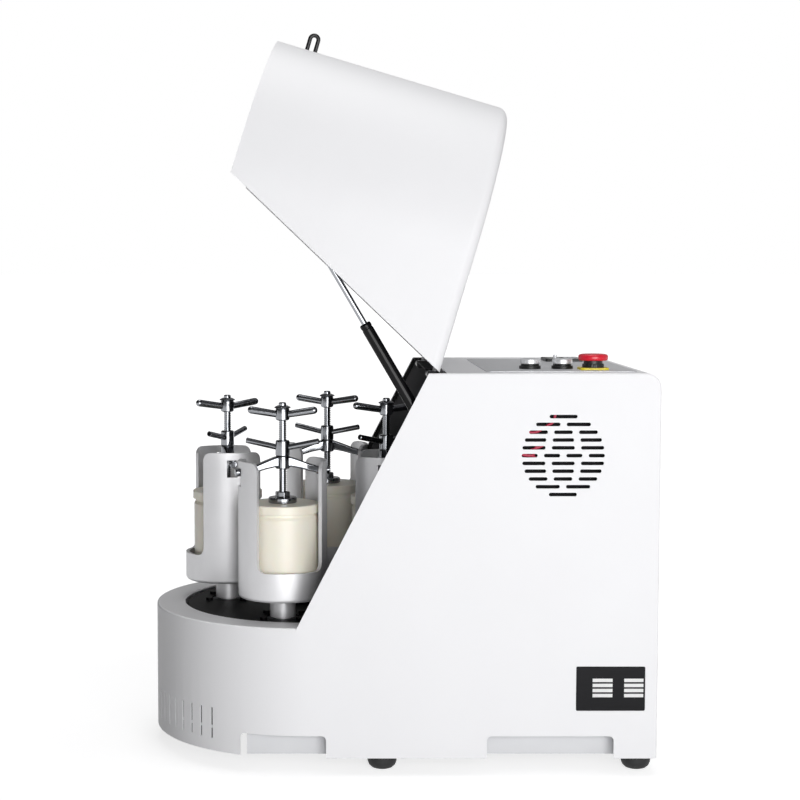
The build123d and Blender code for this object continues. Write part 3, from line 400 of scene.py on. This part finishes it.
# ------------------------------------------------------------------ jar holders
# A holder is cut from one blank of stainless sheet, rolled into a cup with
# two tall arms, and welded to a dished floor with a seat for the jar. It is
# bead blasted with its spindle to an even, soft pale grey.
holder_radius, holder_wall = 67.0, 5.5
holder_bottom, holder_top, cup_rim = 244.0, 451.0, 288.0
bend, fold_steps = 5.5, 5
wall_low = holder_bottom + bend
arm_half, arm_fillet = 42.5, 13.0
seam_start, seam_end = -90, 270
window_bottom, window_top, window_half = 413.0, 440.0, 10.0
seat_inner, seat_outer, seat_top = 53.7, 56.7, 258.0
broken_edge = 0.9
blasted, tree, shader = material("bead_blasted_stainless_steel", Metallic=0.55, Roughness=0.46)
two_tones(tree, shader, noise(tree, 25.0, 3.0), "#D9D9DB", "#E4E4E6")
# Blasting dents are 0.3 mm wide.
relief(tree, shader, noise(tree, 3300.0), 0.12, 0.0002)


def holder_blank():
    """The flat blank: x runs along the rolled wall, y stands for height."""
    per_degree = pi * holder_radius / 180
    flat = bmesh.new()
    corners = [(seam_start, wall_low), (seam_end, wall_low), (seam_end, cup_rim),
               (180 + arm_half, cup_rim), (180 + arm_half, holder_top),
               (180 - arm_half, holder_top), (180 - arm_half, cup_rim),
               (arm_half, cup_rim), (arm_half, holder_top),
               (-arm_half, holder_top), (-arm_half, cup_rim), (seam_start, cup_rim)]
    flat.faces.new([flat.verts.new((a * per_degree, z, 0)) for a, z in corners])
    inner = [v for v in flat.verts if v.co.y > wall_low
             and seam_start + 1 < v.co.x / per_degree < seam_end - 1]
    bmesh.ops.bevel(flat, geom=inner, offset=arm_fillet, segments=7, profile=0.5, affect="VERTICES",
                    material=-1, clamp_overlap=True)
    cuts = [(per_degree * a, 0, 0) for a in range(seam_start + 5, seam_end, 5)]
    cuts += [(middle + side * window_half, 0, 0) for middle in (0, pi * holder_radius) for side in (-1, 1)]
    for cut in cuts:
        bmesh.ops.bisect_plane(flat, geom=flat.verts[:] + flat.edges[:] + flat.faces[:], dist=0.001,
                               plane_co=cut, plane_no=(1, 0, 0))
    for height in (window_bottom, window_top):
        bmesh.ops.bisect_plane(flat, geom=flat.verts[:] + flat.edges[:] + flat.faces[:], dist=0.001,
                               plane_co=(0, height, 0), plane_no=(0, 1, 0))
    windows = []
    for face in flat.faces:
        middle = face.calc_center_median()
        off_middle = min(abs(middle.x), abs(middle.x - pi * holder_radius))
        if window_bottom < middle.y < window_top and off_middle < window_half:
            windows.append(face)
    bmesh.ops.delete(flat, geom=windows, context="FACES")
    return flat


def rolled_holder():
    """The blank rolled up, with its lower edge folded in to the floor."""
    shape = holder_blank()
    for vert in shape.verts:
        angle = vert.co.x / holder_radius
        vert.co = (holder_radius * cos(angle), holder_radius * sin(angle), vert.co.y)
    bmesh.ops.remove_doubles(shape, verts=shape.verts[:], dist=0.01)
    rim = [e for e in shape.edges if e.is_boundary and all(abs(v.co.z - wall_low) < 0.01 for v in e.verts)]
    reach = holder_radius
    for step in range(1, fold_steps + 1):
        angle = step * pi / (2 * fold_steps)
        made = bmesh.ops.extrude_edge_only(shape, edges=rim)["geom"]
        rim = [e for e in made if isinstance(e, bmesh.types.BMEdge) and e.is_boundary]
        ring = [v for v in made if isinstance(v, bmesh.types.BMVert)]
        wide = holder_radius - bend * (1 - cos(angle))
        bmesh.ops.scale(shape, vec=(wide / reach, wide / reach, 1), verts=ring)
        for vert in ring:
            vert.co.z = wall_low - bend * sin(angle)
        reach = wide
    bmesh.ops.edgeloop_fill(shape, edges=rim)
    bmesh.ops.recalc_face_normals(shape, faces=shape.faces[:])
    return shape


for name in stations:
    dress(blasted, f"planet_spindle_{name}")
    seat = turned([(seat_inner, wall_low), (seat_outer, wall_low), (seat_outer, seat_top),
                   (seat_inner, seat_top), (seat_inner, wall_low)])
    piece(moved(rounded(seat, 0.5), at_station(name)), f"jar_seat_{name}", blasted, f"planet_{name}")
    holder = piece(moved(rolled_holder(), at_station(name)), f"holder_{name}", blasted, f"planet_{name}",
                   [f"jar_holder_{name}"])
    holder.modifiers.clear()
    wall = holder.modifiers.new("sheet_thickness", "SOLIDIFY")
    wall.thickness, wall.offset, wall.use_even_offset = holder_wall / 1000, -1, True
    edge = holder.modifiers.new("broken_edges", "BEVEL")
    edge.width, edge.segments, edge.harden_normals = broken_edge / 1000, 3, True
    edge.limit_method, edge.angle_limit = "ANGLE", radians(50)

# ------------------------------------------------------------------ jars
# The jars and their covers are slip cast from ivory ceramic and ground flat
# where they meet. The glaze is thin, so the surface is satin and a little
# translucent, with fine dark specks.
ceramic, tree, shader = material("ivory_alumina_ceramic", Roughness=0.36, IOR=1.6, Subsurface_Weight=0.12,
                                 Subsurface_Scale=0.004)
cloud = noise(tree, 22.0, 3.0)
ivory = two_tones(tree, shader, cloud, "#FAF3E1", "#FEF9EC")
# Specks of 0.6 mm.
specks = remap(tree, noise(tree, 1600.0), 0.70, 0.76, 0.0, 0.35)
speckled = add(tree, "ShaderNodeMix", {"Factor": specks, "A": ivory, "B": color("#B59E78")}, data_type="RGBA")
tree.links.new(speckled.outputs["Result"], shader.inputs["Base Color"])
tree.links.new(remap(tree, cloud, 0, 1, 0.3, 0.44), shader.inputs["Roughness"])

for name in stations:
    pot = turned([(0, 250), (48.5, 250), (51.5, 251), (53.2, 253.4), (53.5, 256), (53.5, 364),
                  (53.1, 366.5), (51.6, 368.8), (51.2, 370), (51.2, 373), (46, 373), (46, 263),
                  (44.8, 260.6), (42, 259.5), (0, 259.5)], steps=96)
    piece(moved(pot, at_station(name)), f"jar_pot_{name}", ceramic, f"planet_{name}",
          [f"jar_{name}"])
    cover = turned([(0, 367), (45.8, 367), (45.8, 373.1), (54.2, 373.1), (55.0, 373.6), (55.2, 374.4),
                    (55.2, 384.4), (54.9, 385.6), (53.8, 386.4), (52.6, 386.5), (0, 386.5)], steps=96)
    piece(moved(cover, at_station(name)), f"jar_cover_{name}", ceramic, f"planet_{name}",
          [f"jar_lid_{name}"])

# ------------------------------------------------------------------ clamps
# Cross beams, lock nuts, clamp handles with their screws and pressure pads are
# machined from steel, polished and chrome plated. The plating mirrors the
# room, with a trace of polishing marks.
chrome, tree, shader = material("polished_chrome_plate", Metallic=1.0, Roughness=0.12)
shader.inputs["Base Color"].default_value = color("#8F9195")
marks = noise(tree, 120.0, 4.0)
tree.links.new(remap(tree, marks, 0, 1, 0.07, 0.18), shader.inputs["Roughness"])
# Polishing leaves waves of about 8 mm.
relief(tree, shader, marks, 0.05, 0.001)

beam_half, beam_low, beam_high = 7.5, 440.5, 457.0
beam_end_x, beam_end_z = 52.0, 434.0
nut_arm_z, nut_arm_rise = 469.2, 12
handle_arm_z, handle_arm_rise = 519.5, 9
screw_radius, thread_depth, pitch = 6.0, 1.1, 3.0
steps_per_turn = 20
hexagon_radius, hexagon_height, hexagon_z = 11.6, 8.6, 398.8


def pulled(shape, face, steps):
    """Pulls a face out in steps, each one a place and a size against the last."""
    for shift, size in steps:
        made = bmesh.ops.extrude_face_region(shape, geom=[face])["geom"]
        face = next(item for item in made if isinstance(item, bmesh.types.BMFace))
        bmesh.ops.translate(shape, vec=shift, verts=face.verts[:])
        middle = face.calc_center_median()
        bmesh.ops.scale(shape, vec=size, space=Matrix.Translation(-middle), verts=face.verts[:])


def beam_wing():
    """One arm of the cross beam, pulled out of the boss and thinned towards its end."""
    wing = bmesh.new()
    corners = [(0, -beam_half, beam_low), (0, beam_half, beam_low), (0, beam_half, beam_high),
               (0, -beam_half, beam_high)]
    face = wing.faces.new([wing.verts.new(c) for c in corners])
    pulled(wing, face, [((12, 0, -0.5), (1, 0.95, 0.92)), ((14, 0, -4), (1, 0.92, 0.86)),
                        ((16, 0, -5.5), (1, 0.95, 0.88)), ((16, 0, -4.2), (1, 1.0, 0.95))])
    bmesh.ops.recalc_face_normals(wing, faces=wing.faces[:])
    wing = rounded(wing, 2.6, segments=4, sharper=50)
    end = turned([(0, 0), (5.9, 0), (5.9, 19.5), (4.6, 21), (0, 21)], steps=32)
    moved(end, Matrix.Translation((beam_end_x, 0, beam_end_z)) @ Matrix.Rotation(radians(90), 4, "Y"))
    return joined(wing, end)


def thread(low, high):
    """A trapezoidal thread, swept round and up one pitch a turn, and cut off square at both ends."""
    root = screw_radius - thread_depth
    turns = int((high - low) / pitch) + 4
    rod = bmesh.new()
    profile = [(root, 0), (root, 0.75), (screw_radius, 1.2), (screw_radius, 2.1), (root, 2.55), (root, pitch)]
    verts = [rod.verts.new((r, 0, low - 2 * pitch + z)) for r, z in profile]
    edges = [rod.edges.new(pair) for pair in zip(verts, verts[1:])]
    bmesh.ops.spin(rod, geom=verts + edges, cent=(0, 0, 0), axis=(0, 0, 1), angle=2 * pi * turns,
                   steps=steps_per_turn * turns, dvec=(0, 0, pitch / steps_per_turn), use_merge=False)
    bmesh.ops.remove_doubles(rod, verts=rod.verts[:], dist=0.01)
    for height, keep_up in ((low, True), (high, False)):
        cut = bmesh.ops.bisect_plane(rod, geom=rod.verts[:] + rod.edges[:] + rod.faces[:], dist=0.0001,
                                     plane_co=(0, 0, height), plane_no=(0, 0, 1), clear_inner=keep_up,
                                     clear_outer=not keep_up)["geom_cut"]
        bmesh.ops.edgenet_fill(rod, edges=[item for item in cut if isinstance(item, bmesh.types.BMEdge)])
    bmesh.ops.recalc_face_normals(rod, faces=rod.faces[:])
    return rod


def both_ends(arm):
    """The same arm to both sides of an upright axis."""
    return joined(arm, moved(arm.copy(), Matrix.Rotation(pi, 4, "Z")))


for name in stations:
    boss = turned([(6.3, 438), (9.6, 438), (11, 439.4), (11, 455.6), (9.6, 457.5), (6.3, 457.5), (6.3, 438)])
    beam = joined(boss, both_ends(beam_wing()))
    piece(moved(beam, at_station(name)), f"cross_beam_{name}", chrome, f"planet_{name}",
          [f"clamp_beam_{name}"])

    nut = turned([(6.3, 457.7), (9.9, 457.7), (10.7, 458.5), (10.7, 478.9), (9.4, 480.7), (6.3, 480.7),
                  (6.3, 457.7)])
    arm = turned([(0, 4), (4.3, 4), (4.3, 51.9), (3.7, 52.6), (0, 52.6)], steps=32)
    raised = Matrix.Rotation(radians(90 - nut_arm_rise), 4, "Y")
    moved(arm, Matrix.Translation((4, 0, nut_arm_z)) @ raised)
    piece(moved(joined(nut, both_ends(arm)), at_station(name, 2)), f"lock_nut_winged_{name}", chrome,
          f"lock_nut_{name}", [f"lock_nut_{name}"])

    hub = turned([(0, 511), (8.6, 511), (10.5, 512.6), (10.5, 527.2), (9.4, 529), (0, 529)])
    washer = turned([(0, 529), (11.2, 529), (12.5, 529.8), (12.2, 531), (8, 533.2), (0, 533.2)])
    tip = turned([(0, 532), (5.8, 532), (5.8, 536.4), (4.4, 538), (0, 538)], steps=32)
    arm = turned([(0, 0), (5.2, 0), (5.7, 42), (5.3, 44.6), (4.2, 46.6), (2.4, 47.9), (0, 48.3)], steps=32)
    raised = Matrix.Rotation(radians(90 - handle_arm_rise), 4, "Y")
    moved(arm, Matrix.Translation((5, 0, handle_arm_z)) @ raised)
    handle = joined(hub, washer, tip, both_ends(arm), thread(low=389.8, high=512.0))
    piece(moved(handle, at_station(name, 3)), f"clamp_handle_{name}", chrome, f"clamp_screw_{name}",
          [f"clamp_screw_{name}"])

    flange = turned([(0, 386.6), (20.6, 386.6), (21.5, 387.4), (21.5, 393.6), (20.2, 395.1), (0, 395.1)])
    hexagon = bmesh.new()
    bmesh.ops.create_cone(hexagon, cap_ends=True, segments=6, radius1=hexagon_radius, radius2=hexagon_radius,
                          depth=hexagon_height)
    moved(rounded(hexagon, 0.8), Matrix.Translation((0, 0, hexagon_z)))
    piece(moved(joined(flange, hexagon), at_station(name)), f"jar_pad_{name}", chrome, f"pressure_pad_{name}",
          [f"pressure_pad_{name}"])

# ------------------------------------------------------------------ lid handle
# An upright loop, bent from 6.4 mm round bar and powder coated satin black. It
# is screwed to the middle of the lid's nose from inside.
hinge_x, hinge_z, lid_open = 46.5, 581.0, 106.5
opened = (Matrix.Translation((hinge_x, 0, hinge_z)) @ Matrix.Rotation(radians(lid_open), 4, "Y")
          @ Matrix.Translation((-hinge_x, 0, -hinge_z)))
black_coat, tree, shader = material("satin_black_powder_coat", Roughness=0.36)
two_tones(tree, shader, noise(tree, 400.0), "#0D0D0E", "#19191B")


def drawn_out(shape, edges, shift):
    """Draws an open ring of edges out into a straight length of bar."""
    made = bmesh.ops.extrude_edge_only(shape, edges=edges)["geom"]
    bmesh.ops.translate(shape, vec=shift, verts=[v for v in made if isinstance(v, bmesh.types.BMVert)])
    return [e for e in made if isinstance(e, bmesh.types.BMEdge) and e.is_boundary]


def bent_round(shape, edges, centre, axis, angle, steps):
    """Bends an open ring of edges round an axis."""
    verts = list({v for e in edges for v in e.verts})
    last = bmesh.ops.spin(shape, geom=verts + edges, cent=centre, axis=axis, angle=radians(angle),
                          steps=steps)["geom_last"]
    return [e for e in last if isinstance(e, bmesh.types.BMEdge)]


loop_x, loop_root, loop_z, loop_half, bar_radius = -401.0, -375.2, 270.0, 6.5, 3.2
loop = bmesh.new()
start = Matrix.Translation((loop_root, 0, loop_z - loop_half)) @ Matrix.Rotation(radians(90), 4, "Y")
bmesh.ops.create_circle(loop, cap_ends=False, segments=32, radius=bar_radius, matrix=start)
rim = drawn_out(loop, loop.edges[:], (loop_x + loop_half - loop_root, 0, 0))
rim = bent_round(loop, rim, (loop_x + loop_half, 0, loop_z), (0, 1, 0), 180, steps=18)
drawn_out(loop, rim, (loop_root - loop_x - loop_half, 0, 0))
bmesh.ops.holes_fill(loop, edges=[e for e in loop.edges if e.is_boundary])
bmesh.ops.recalc_face_normals(loop, faces=loop.faces[:])
piece(moved(loop, opened), "lid_loop_handle", black_coat, "lid", ["lid_handle"])

# ------------------------------------------------------------------ gas spring
# The spring is a drawn steel tube in gloss black with a rolled gland at the
# rod end, a hard chrome rod, and a moulded eye on both ends.
gloss_black, tree, shader = material("gloss_black_stoved_paint", Roughness=0.12, Specular_IOR_Level=0.16)
two_tones(tree, shader, noise(tree, 90.0), "#070708", "#0F0F11")
rod_chrome, tree, shader = material("hard_chrome_rod", Metallic=1.0, Roughness=0.1)
two_tones(tree, shader, noise(tree, 1500.0), "#8E9094", "#A2A4A8")

strut_foot, strut_length, strut_angle = Vector((28.5, -215.0, 520.7)), 317.96, 30.455
rod_radius, rod_low, rod_high = 4.3, strut_length - 180, strut_length - 4
along = Matrix.Translation(strut_foot) @ Matrix.Rotation(radians(-strut_angle), 4, "Y")
across = Matrix.Rotation(radians(90), 4, "X")
tube = turned([(0, 12), (7.2, 12), (8.2, 12.9), (8.6, 14.4), (8.6, 150), (8.0, 151.4), (8.0, 153),
               (8.6, 154.4), (8.6, 157.4), (8.2, 159), (7.0, 160), (4.5, 160), (4.5, 140), (0, 140)],
              steps=48)
eye = turned([(4.1, -4), (6.3, -4), (7, -3.3), (7, 3.3), (6.3, 4), (4.1, 4), (4.1, -4)], steps=40)
neck = turned([(0, 5.6), (3.3, 5.6), (3.3, 12.5), (0, 12.5)], steps=24)
piece(moved(joined(tube, moved(eye, across), neck), along), "spring_tube", gloss_black, "strut_tube",
      ["strut_tube"])
rod = turned([(0, rod_low), (rod_radius, rod_low), (rod_radius, rod_high), (0, rod_high)], steps=32)
piece(moved(rod, along), "spring_rod", rod_chrome, "strut_rod", ["strut_rod"])
eye = turned([(0, -4), (6.3, -4), (7, -3.3), (7, 3.3), (6.3, 4), (0, 4)], steps=40)
socket = moved(moved(eye, across), Matrix.Translation((0, 0, strut_length)))
piece(moved(socket, along), "spring_socket", gloss_black, "strut_rod", ["strut_rod"])

# ------------------------------------------------------------------ control panel
# A light grey painted plate with a small bevel lies on the deck. Two metal push
# buttons with black collars, a short metal post, a keypad and the emergency
# stop on its yellow plate stand on it. Display and keys are left blank.
deck = 588.0
panel_top, guard_top, keypad_top = deck + 1.5, 592.5, 594.0
panel_x, panel_y = (125, 345), (-208, 150)
button_y, start_x, stop_x = -140.0, 196.0, 244.0
stem_bottom, stem_radius = 554, 12.7
estop_place, guard_half = (287.0, -160.0, 0), 21.5
neck_steps, neck_radius, flute_radius = 96, 16.0, 15.3
post_place = (253, 10, 0)
keypad_x, keypad_y = (245, 305), (60, 130)
display_x, display_y, display_thickness = (250, 273), (66, 124), 0.25
key_x, key_y, key_length, key_width, key_height = 278, 67, 6.5, 12, 0.45
row_pitch, key_pitch = 8.2, 15
panel_paint, tree, shader = material("satin_grey_panel", Roughness=0.36, Metallic=0.15)
two_tones(tree, shader, noise(tree, 30.0, 3.0), "#CDCED1", "#D6D7DA")
signal_yellow, tree, shader = material("moulded_signal_yellow", Roughness=0.35)
two_tones(tree, shader, noise(tree, 120.0), "#F3DC10", "#F8E93A")
signal_red, tree, shader = material("moulded_signal_red", Roughness=0.3)
two_tones(tree, shader, noise(tree, 120.0), "#D3112B", "#E01C36")
black_plastic, tree, shader = material("moulded_black_nylon", Roughness=0.4)
two_tones(tree, shader, noise(tree, 1500.0), "#0C0C0D", "#1A1A1C")
dark_glass, tree, shader = material("dark_display_glass", Roughness=0.08)
two_tones(tree, shader, noise(tree, 60.0), "#0A1210", "#101C18")


def plate(x0, x1, y0, y1, z0, z1, corner, edge):
    """A plate with rounded corners and a small bevel round its top."""
    shape = rounded(slab(x0, x1, y0, y1, z0, z1), corner, segments=8, where=lambda e: runs_along(e, 2))
    return rounded(shape, edge, segments=2, where=lambda e: not runs_along(e, 2)
                   and min(v.co.z for v in e.verts) > z1 - 0.01)


piece(plate(*panel_x, *panel_y, deck + 0.05, panel_top, corner=8, edge=0.5), "panel_plate", panel_paint,
      "root", ["control_panel"])

bright_steel, tree, shader = material("bright_drawn_steel", Metallic=0.6, Roughness=0.32)
two_tones(tree, shader, noise(tree, 700.0, 3.0), "#E2E3E6", "#F0F1F3")

for name, x in (("start", start_x), ("stop", stop_x)):
    spot = Matrix.Translation((x, button_y, 0))
    cap = turned([(0, 596.9), (14.3, 596.9), (15, 597.6), (15, 602.4), (14.5, 603.7), (12.8, 604.5),
                  (7, 604.9), (0, 605)])
    piece(moved(cap, spot), f"{name}_button_cap", bright_steel, f"{name}_button",
          [f"{name}_button"])
    skirt = turned([(0, 571), (4.9, 571), (4.9, 594.4), (13.5, 594.4), (13.5, 597), (0, 597)])
    piece(moved(skirt, spot), f"{name}_button_skirt", black_plastic, f"{name}_button",
          [f"{name}_button"])
    bezel = turned([(5.1, stem_bottom), (stem_radius, stem_bottom), (stem_radius, panel_top + 0.02),
                    (16, panel_top + 0.02), (16, 593.3), (15.4, 594), (14.2, 594), (14.2, 589.65),
                    (5.1, 589.65), (5.1, stem_bottom)])
    piece(moved(bezel, spot), f"{name}_button_bezel", black_plastic, "root", ["control_panel"])

estop = Matrix.Translation(estop_place)
guard = plate(-guard_half, guard_half, -guard_half, guard_half, panel_top + 0.02, guard_top,
              corner=8, edge=0.7)
piece(moved(guard, estop), "stop_guard_plate", signal_yellow, "root", ["control_panel"])
neck = turned([(5.1, stem_bottom), (stem_radius, stem_bottom), (stem_radius, guard_top + 0.02),
               (neck_radius, guard_top + 0.02), (neck_radius, 597), (15.3, 597.9), (14.4, 597.9),
               (14.4, 592.8), (5.1, 592.8), (5.1, stem_bottom)], steps=neck_steps)
# The neck's rim is fluted: of every four steps round it, two are pressed in.
for vert in neck.verts:
    step = round(vert.co.xy.angle_signed(Vector((1, 0)), 0) / (2 * pi) * neck_steps)
    if (step + 3) % 4 < 2 and vert.co.xy.length > neck_radius - 0.1 and vert.co.z > guard_top + 0.1:
        vert.co.xy *= flute_radius / neck_radius
piece(moved(neck, estop), "stop_neck", black_plastic, "root", ["control_panel"])
mushroom = turned([(0, 602.8), (19.8, 602.8), (21.3, 603.7), (22, 605.5), (22, 608.7), (21.4, 610.5),
                   (19.7, 611.8), (17, 612.4), (0, 612.6)], steps=72)
piece(moved(mushroom, estop), "stop_mushroom", signal_red, "emergency_stop", ["emergency_stop"])
collar = turned([(0, 576), (4.9, 576), (4.9, 597.2), (14.0, 597.2), (14.0, 602.8), (0, 602.8)])
piece(moved(collar, estop), "stop_collar", black_plastic, "emergency_stop", ["emergency_stop"])

knob = turned([(0, 588.3), (1.4, 588.3), (1.4, 589.9), (3.0, 589.9), (3.0, 591), (2.3, 591.6), (2.3, 599.4),
               (3.0, 600), (3.0, 602.3), (2.5, 603), (0, 603)], steps=40)
piece(moved(knob, Matrix.Translation(post_place)), "speed_post", bright_steel, "speed_knob",
      ["speed_knob"])

keypad = plate(*keypad_x, *keypad_y, panel_top + 0.02, keypad_top, corner=4, edge=0.8)
piece(keypad, "keypad_body", black_plastic, "root", ["control_panel"])
display = plate(*display_x, *display_y, keypad_top, keypad_top + display_thickness, corner=1.5, edge=0.1)
piece(display, "keypad_display", dark_glass, "root", ["control_panel"])
keys = []
for x in (key_x + row_pitch * row for row in range(3)):
    for y in (key_y + key_pitch * key for key in range(4)):
        keys.append(plate(x, x + key_length, y, y + key_width, keypad_top, keypad_top + key_height,
                          corner=1.5, edge=0.2))
piece(joined(*keys), "keypad_keys", panel_paint, "root", ["control_panel"])

# ------------------------------------------------------------------ behind the air slots
# A pad of near-black foam lies behind the round grille, and two strips of it
# lie behind the slots in the nose, above and below the base plate. Their
# near-black is painted shade: it stands in for the unlit inside of the housing
# seen through the slots. Red insulated wires run before the pad and show
# through the grille's upper left slots.
shade_foam, tree, shader = material("dark_filter_foam", Roughness=0.95)
place = add(tree, "ShaderNodeTexCoord").outputs["Object"]
# Foam cells of 1.5 mm.
cells = add(tree, "ShaderNodeTexVoronoi", {"Vector": place, "Scale": 650.0}).outputs["Distance"]
two_tones(tree, shader, cells, "#040405", "#161618")
grille_z, pad_x, pad_y, pad_half, pad_thickness = 469.0, (162, 306), -222.0, 70, 8
pad = plate(*pad_x, -pad_half, pad_half, 0, pad_thickness, corner=10, edge=1.0)
upended = Matrix.Translation((0, pad_y, grille_z)) @ Matrix.Rotation(radians(-90), 4, "X")
piece(moved(pad, upended), "filter_pad", shade_foam, "root")

strip_inner, strip_outer, strip_half_angle = 229.5, 232.3, 58


def curved_strip(low, high):
    """A strip bent round the disc's axis, across the middle of the nose."""
    shape = bmesh.new()
    profile = ((strip_inner, low), (strip_outer, low), (strip_outer, high), (strip_inner, high))
    face = shape.faces.new([shape.verts.new((radius, 0, height)) for radius, height in profile])
    bmesh.ops.spin(shape, geom=[face, *face.edges, *face.verts], cent=(0, 0, 0), axis=(0, 0, 1),
                   angle=radians(2 * strip_half_angle), steps=48)
    bmesh.ops.recalc_face_normals(shape, faces=shape.faces[:])
    return moved(shape, Matrix.Translation((disc_x, 0, 0))
                 @ Matrix.Rotation(radians(180 - strip_half_angle), 4, "Z"))


strips = joined(curved_strip(low=40.0, high=56.5), curved_strip(low=61.5, high=93.0))
piece(strips, "nose_filter_strips", shade_foam, "root")

red_wire, tree, shader = material("red_silicone_insulation", Roughness=0.45)
two_tones(tree, shader, noise(tree, 500.0), "#B01030", "#D04060")

wire_y, wire_radius, steps_between_bends = -227.5, 1.9, 6
# The bends of each wire, as x and z.
wire_bends = (((226, 540), (220, 518), (212, 512), (203, 506), (194, 502), (184, 503), (170, 512)),
              ((206, 483), (196, 479), (186, 475), (180, 469), (190, 468), (200, 462)),
              ((172, 478), (176, 470), (186, 468), (192, 470), (196, 482)))


def wire_run(points):
    """A round wire along a smooth line through points."""
    path = []
    ends = [points[0], *points, points[-1]]
    for a, b, c, d in zip(ends, ends[1:], ends[2:], ends[3:]):
        for step in range(steps_between_bends):
            t = step / steps_between_bends
            path.append(0.5 * (2 * b + (c - a) * t + (2 * a - 5 * b + 4 * c - d) * t * t
                               + (3 * b - a - 3 * c + d) * t * t * t))
    path.append(points[-1])
    shape = bmesh.new()
    ring = None
    for here, after in zip(path, path[1:] + [2 * path[-1] - path[-2]]):
        facing = Vector((0, 0, 1)).rotation_difference((after - here).normalized()).to_matrix().to_4x4()
        made = bmesh.ops.create_circle(shape, segments=12, radius=wire_radius,
                                       matrix=Matrix.Translation(here) @ facing)
        edges = list({e for v in made["verts"] for e in v.link_edges})
        if ring:
            bmesh.ops.bridge_loops(shape, edges=ring + edges)
        ring = edges
    bmesh.ops.holes_fill(shape, edges=[e for e in shape.edges if e.is_boundary])
    bmesh.ops.recalc_face_normals(shape, faces=shape.faces[:])
    return shape


wires = [wire_run([Vector((x, wire_y, z)) for x, z in bends]) for bends in wire_bends]
piece(joined(*wires), "red_wires", red_wire, "root")
